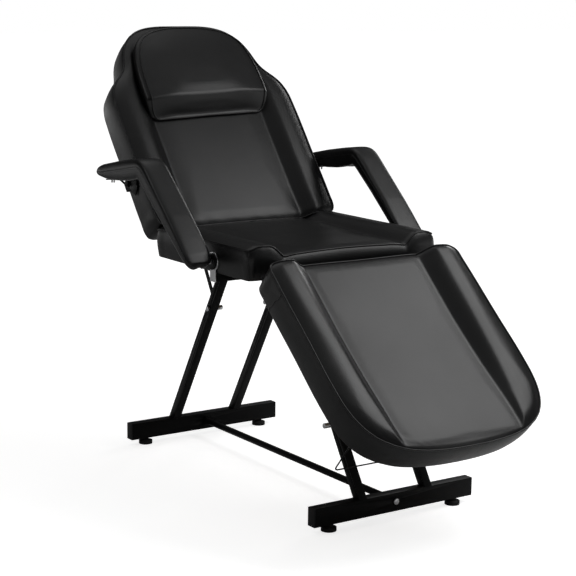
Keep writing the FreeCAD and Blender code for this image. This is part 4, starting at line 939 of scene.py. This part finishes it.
def floor_material():
    """White floor: diffuse, with a glow for the camera that grows with distance from the chair, and one
    for mirrored rays that grows towards the bright side of the room."""
    material = bpy.data.materials.new("studio_floor")
    material.use_nodes = True
    tree = material.node_tree
    tree.nodes.remove(tree.nodes["Principled BSDF"])
    place = add_node(tree, "TexCoord")
    away = add_node(tree, "VectorMath", {0: place.outputs["Object"]}, operation="LENGTH")
    glow = ramp(tree, away.outputs["Value"], 0.9, 3.2, floor_glow, 1.0, "SMOOTHSTEP")
    aside = add_node(tree, "VectorMath", {0: place.outputs["Object"], 1: (-1.5, -1.0, 0.0)},
                     operation="DISTANCE")
    mirrored = ramp(tree, aside.outputs["Value"], 4.0, 10.0, 0.0, 1.3)
    ray, seen = direct_rays(tree)
    seen = combine(tree, "MULTIPLY_ADD", ray.outputs["Is Glossy Ray"], mirrored, seen)
    strength = combine(tree, "MULTIPLY", seen, glow)
    plain = add_node(tree, "BsdfDiffuse", {"Color": (0.8, 0.8, 0.8, 1.0)})
    lift = add_node(tree, "Emission", {"Color": (1.0, 1.0, 1.0, 1.0), "Strength": strength})
    both = add_node(tree, "AddShader", {0: plain.outputs["BSDF"], 1: lift.outputs["Emission"]})
    tree.links.new(both.outputs["Shader"], tree.nodes["Material Output"].inputs["Surface"])
    return material


floor_mesh = bpy.data.meshes.new("studio_floor")
floor_mesh.from_pydata([(-floor_half, -floor_half, 0), (floor_half, -floor_half, 0),
                        (floor_half, floor_half, 0), (-floor_half, floor_half, 0)], [], [(0, 1, 2, 3)])
floor_mesh.materials.append(floor_material())
placed("studio_floor", floor_mesh)

world = bpy.data.worlds.new("studio")
world.use_nodes = True
bpy.context.scene.world = world
tree = world.node_tree
room = tree.nodes["Background"]
room.inputs["Color"].default_value = (1.0, 1.0, 1.0, 1.0)
room.inputs["Strength"].default_value = 0.16
# Shiny faces see the backdrop as a studio's: pale at the floor, dark above it and white overhead
way = add_node(tree, "TexCoord")
height = add_node(tree, "SeparateXYZ", {"Vector": way.outputs["Generated"]})
fade = ramp(tree, height.outputs["Z"], 0.35, 0.95, 0.02, 0.3, "SMOOTHSTEP")
skirting = ramp(tree, height.outputs["Z"], 0.1, 0.28, 0.25, 0.0)
fade = combine(tree, "MAXIMUM", fade, skirting)
ray, seen = direct_rays(tree)
backdrop = add_node(tree, "Background", {"Color": (1.0, 1.0, 1.0, 1.0),
                                         "Strength": combine(tree, "MAXIMUM", seen, fade)})
shown = combine(tree, "MAXIMUM", seen, ray.outputs["Is Glossy Ray"])
both = add_node(tree, "MixShader", {0: shown, 1: room.outputs["Background"],
                                    2: backdrop.outputs["Background"]})
tree.links.new(both.outputs["Shader"], tree.nodes["World Output"].inputs["Surface"])


def soft_box(name, place, target, first_side, size, radiance):
    """A flat area light that faces a target, with the first of its two sizes along a direction. Its
    power is its radiance times its area times pi."""
    lamp = bpy.data.lights.new(name, "AREA")
    lamp.shape = "RECTANGLE"
    lamp.size, lamp.size_y = size
    lamp.energy = radiance * math.pi * size[0] * size[1]
    light = placed(name, lamp)
    light.visible_camera = False
    back_to = (Vector(place) - Vector(target)).normalized()
    over = back_to.cross(Vector(first_side)).normalized()
    turned = Matrix((over.cross(back_to), over, back_to)).transposed().to_4x4()
    light.matrix_world = Matrix.Translation(place) @ turned


soft_box("far_box", (0.948, 1.257, 2.145), (0.5, 0.0, 0.4), (0.85, 0.0, -0.53), (1.35, 1.45), 4.3)
soft_box("near_box", (-0.3, -2.2, 3.0), (-0.4, -0.2, 0.9), (1.0, 0.0, 0.0), (0.6, 0.6), 5.0)
soft_box("right_box", (3.3, 2.6, 2.4), (-0.5, 0.0, 0.9), (0.0, 1.0, 0.0), (1.1, 0.7), 2.2)
soft_box("rear_box", (-1.6, 3.0, 1.9), (0.0, 0.0, 0.8), (1.0, 0.0, 0.0), (0.9, 1.1), 4.5)
soft_box("overhead", (-1.0, 0.1, 3.6), (-0.2, 0.0, 0.3), (1.0, 0.0, 0.0), (2.2, 2.2), 0.7)

# Camera at the photograph's place: 4.6 m off, a little above the chair, with a long lens.
# Its place, turn and focal length come from solving the camera and the chair together.
camera_place = (3.65305, -2.53036, 1.36204)
camera_yaw, camera_pitch, camera_roll = math.radians(34.27), math.radians(10.45), math.radians(0.66)
focal_pixels, picture_pixels = 1617.16, 576
forward = Vector((-math.cos(camera_yaw) * math.cos(camera_pitch),
                  math.sin(camera_yaw) * math.cos(camera_pitch), -math.sin(camera_pitch)))
level = forward.cross(Vector((0, 0, 1))).normalized()
upright = level.cross(forward)
right = level * math.cos(camera_roll) + upright * math.sin(camera_roll)
upward = upright * math.cos(camera_roll) - level * math.sin(camera_roll)
lens = bpy.data.cameras.new("camera")
lens.sensor_width = 36.0
lens.lens = focal_pixels / picture_pixels * lens.sensor_width
camera = placed("camera", lens)
turned = Matrix((right, upward, -forward)).transposed().to_4x4()
camera.matrix_world = Matrix.Translation(camera_place) @ turned
bpy.context.scene.camera = camera
bpy.context.scene.view_settings.view_transform = "Standard"
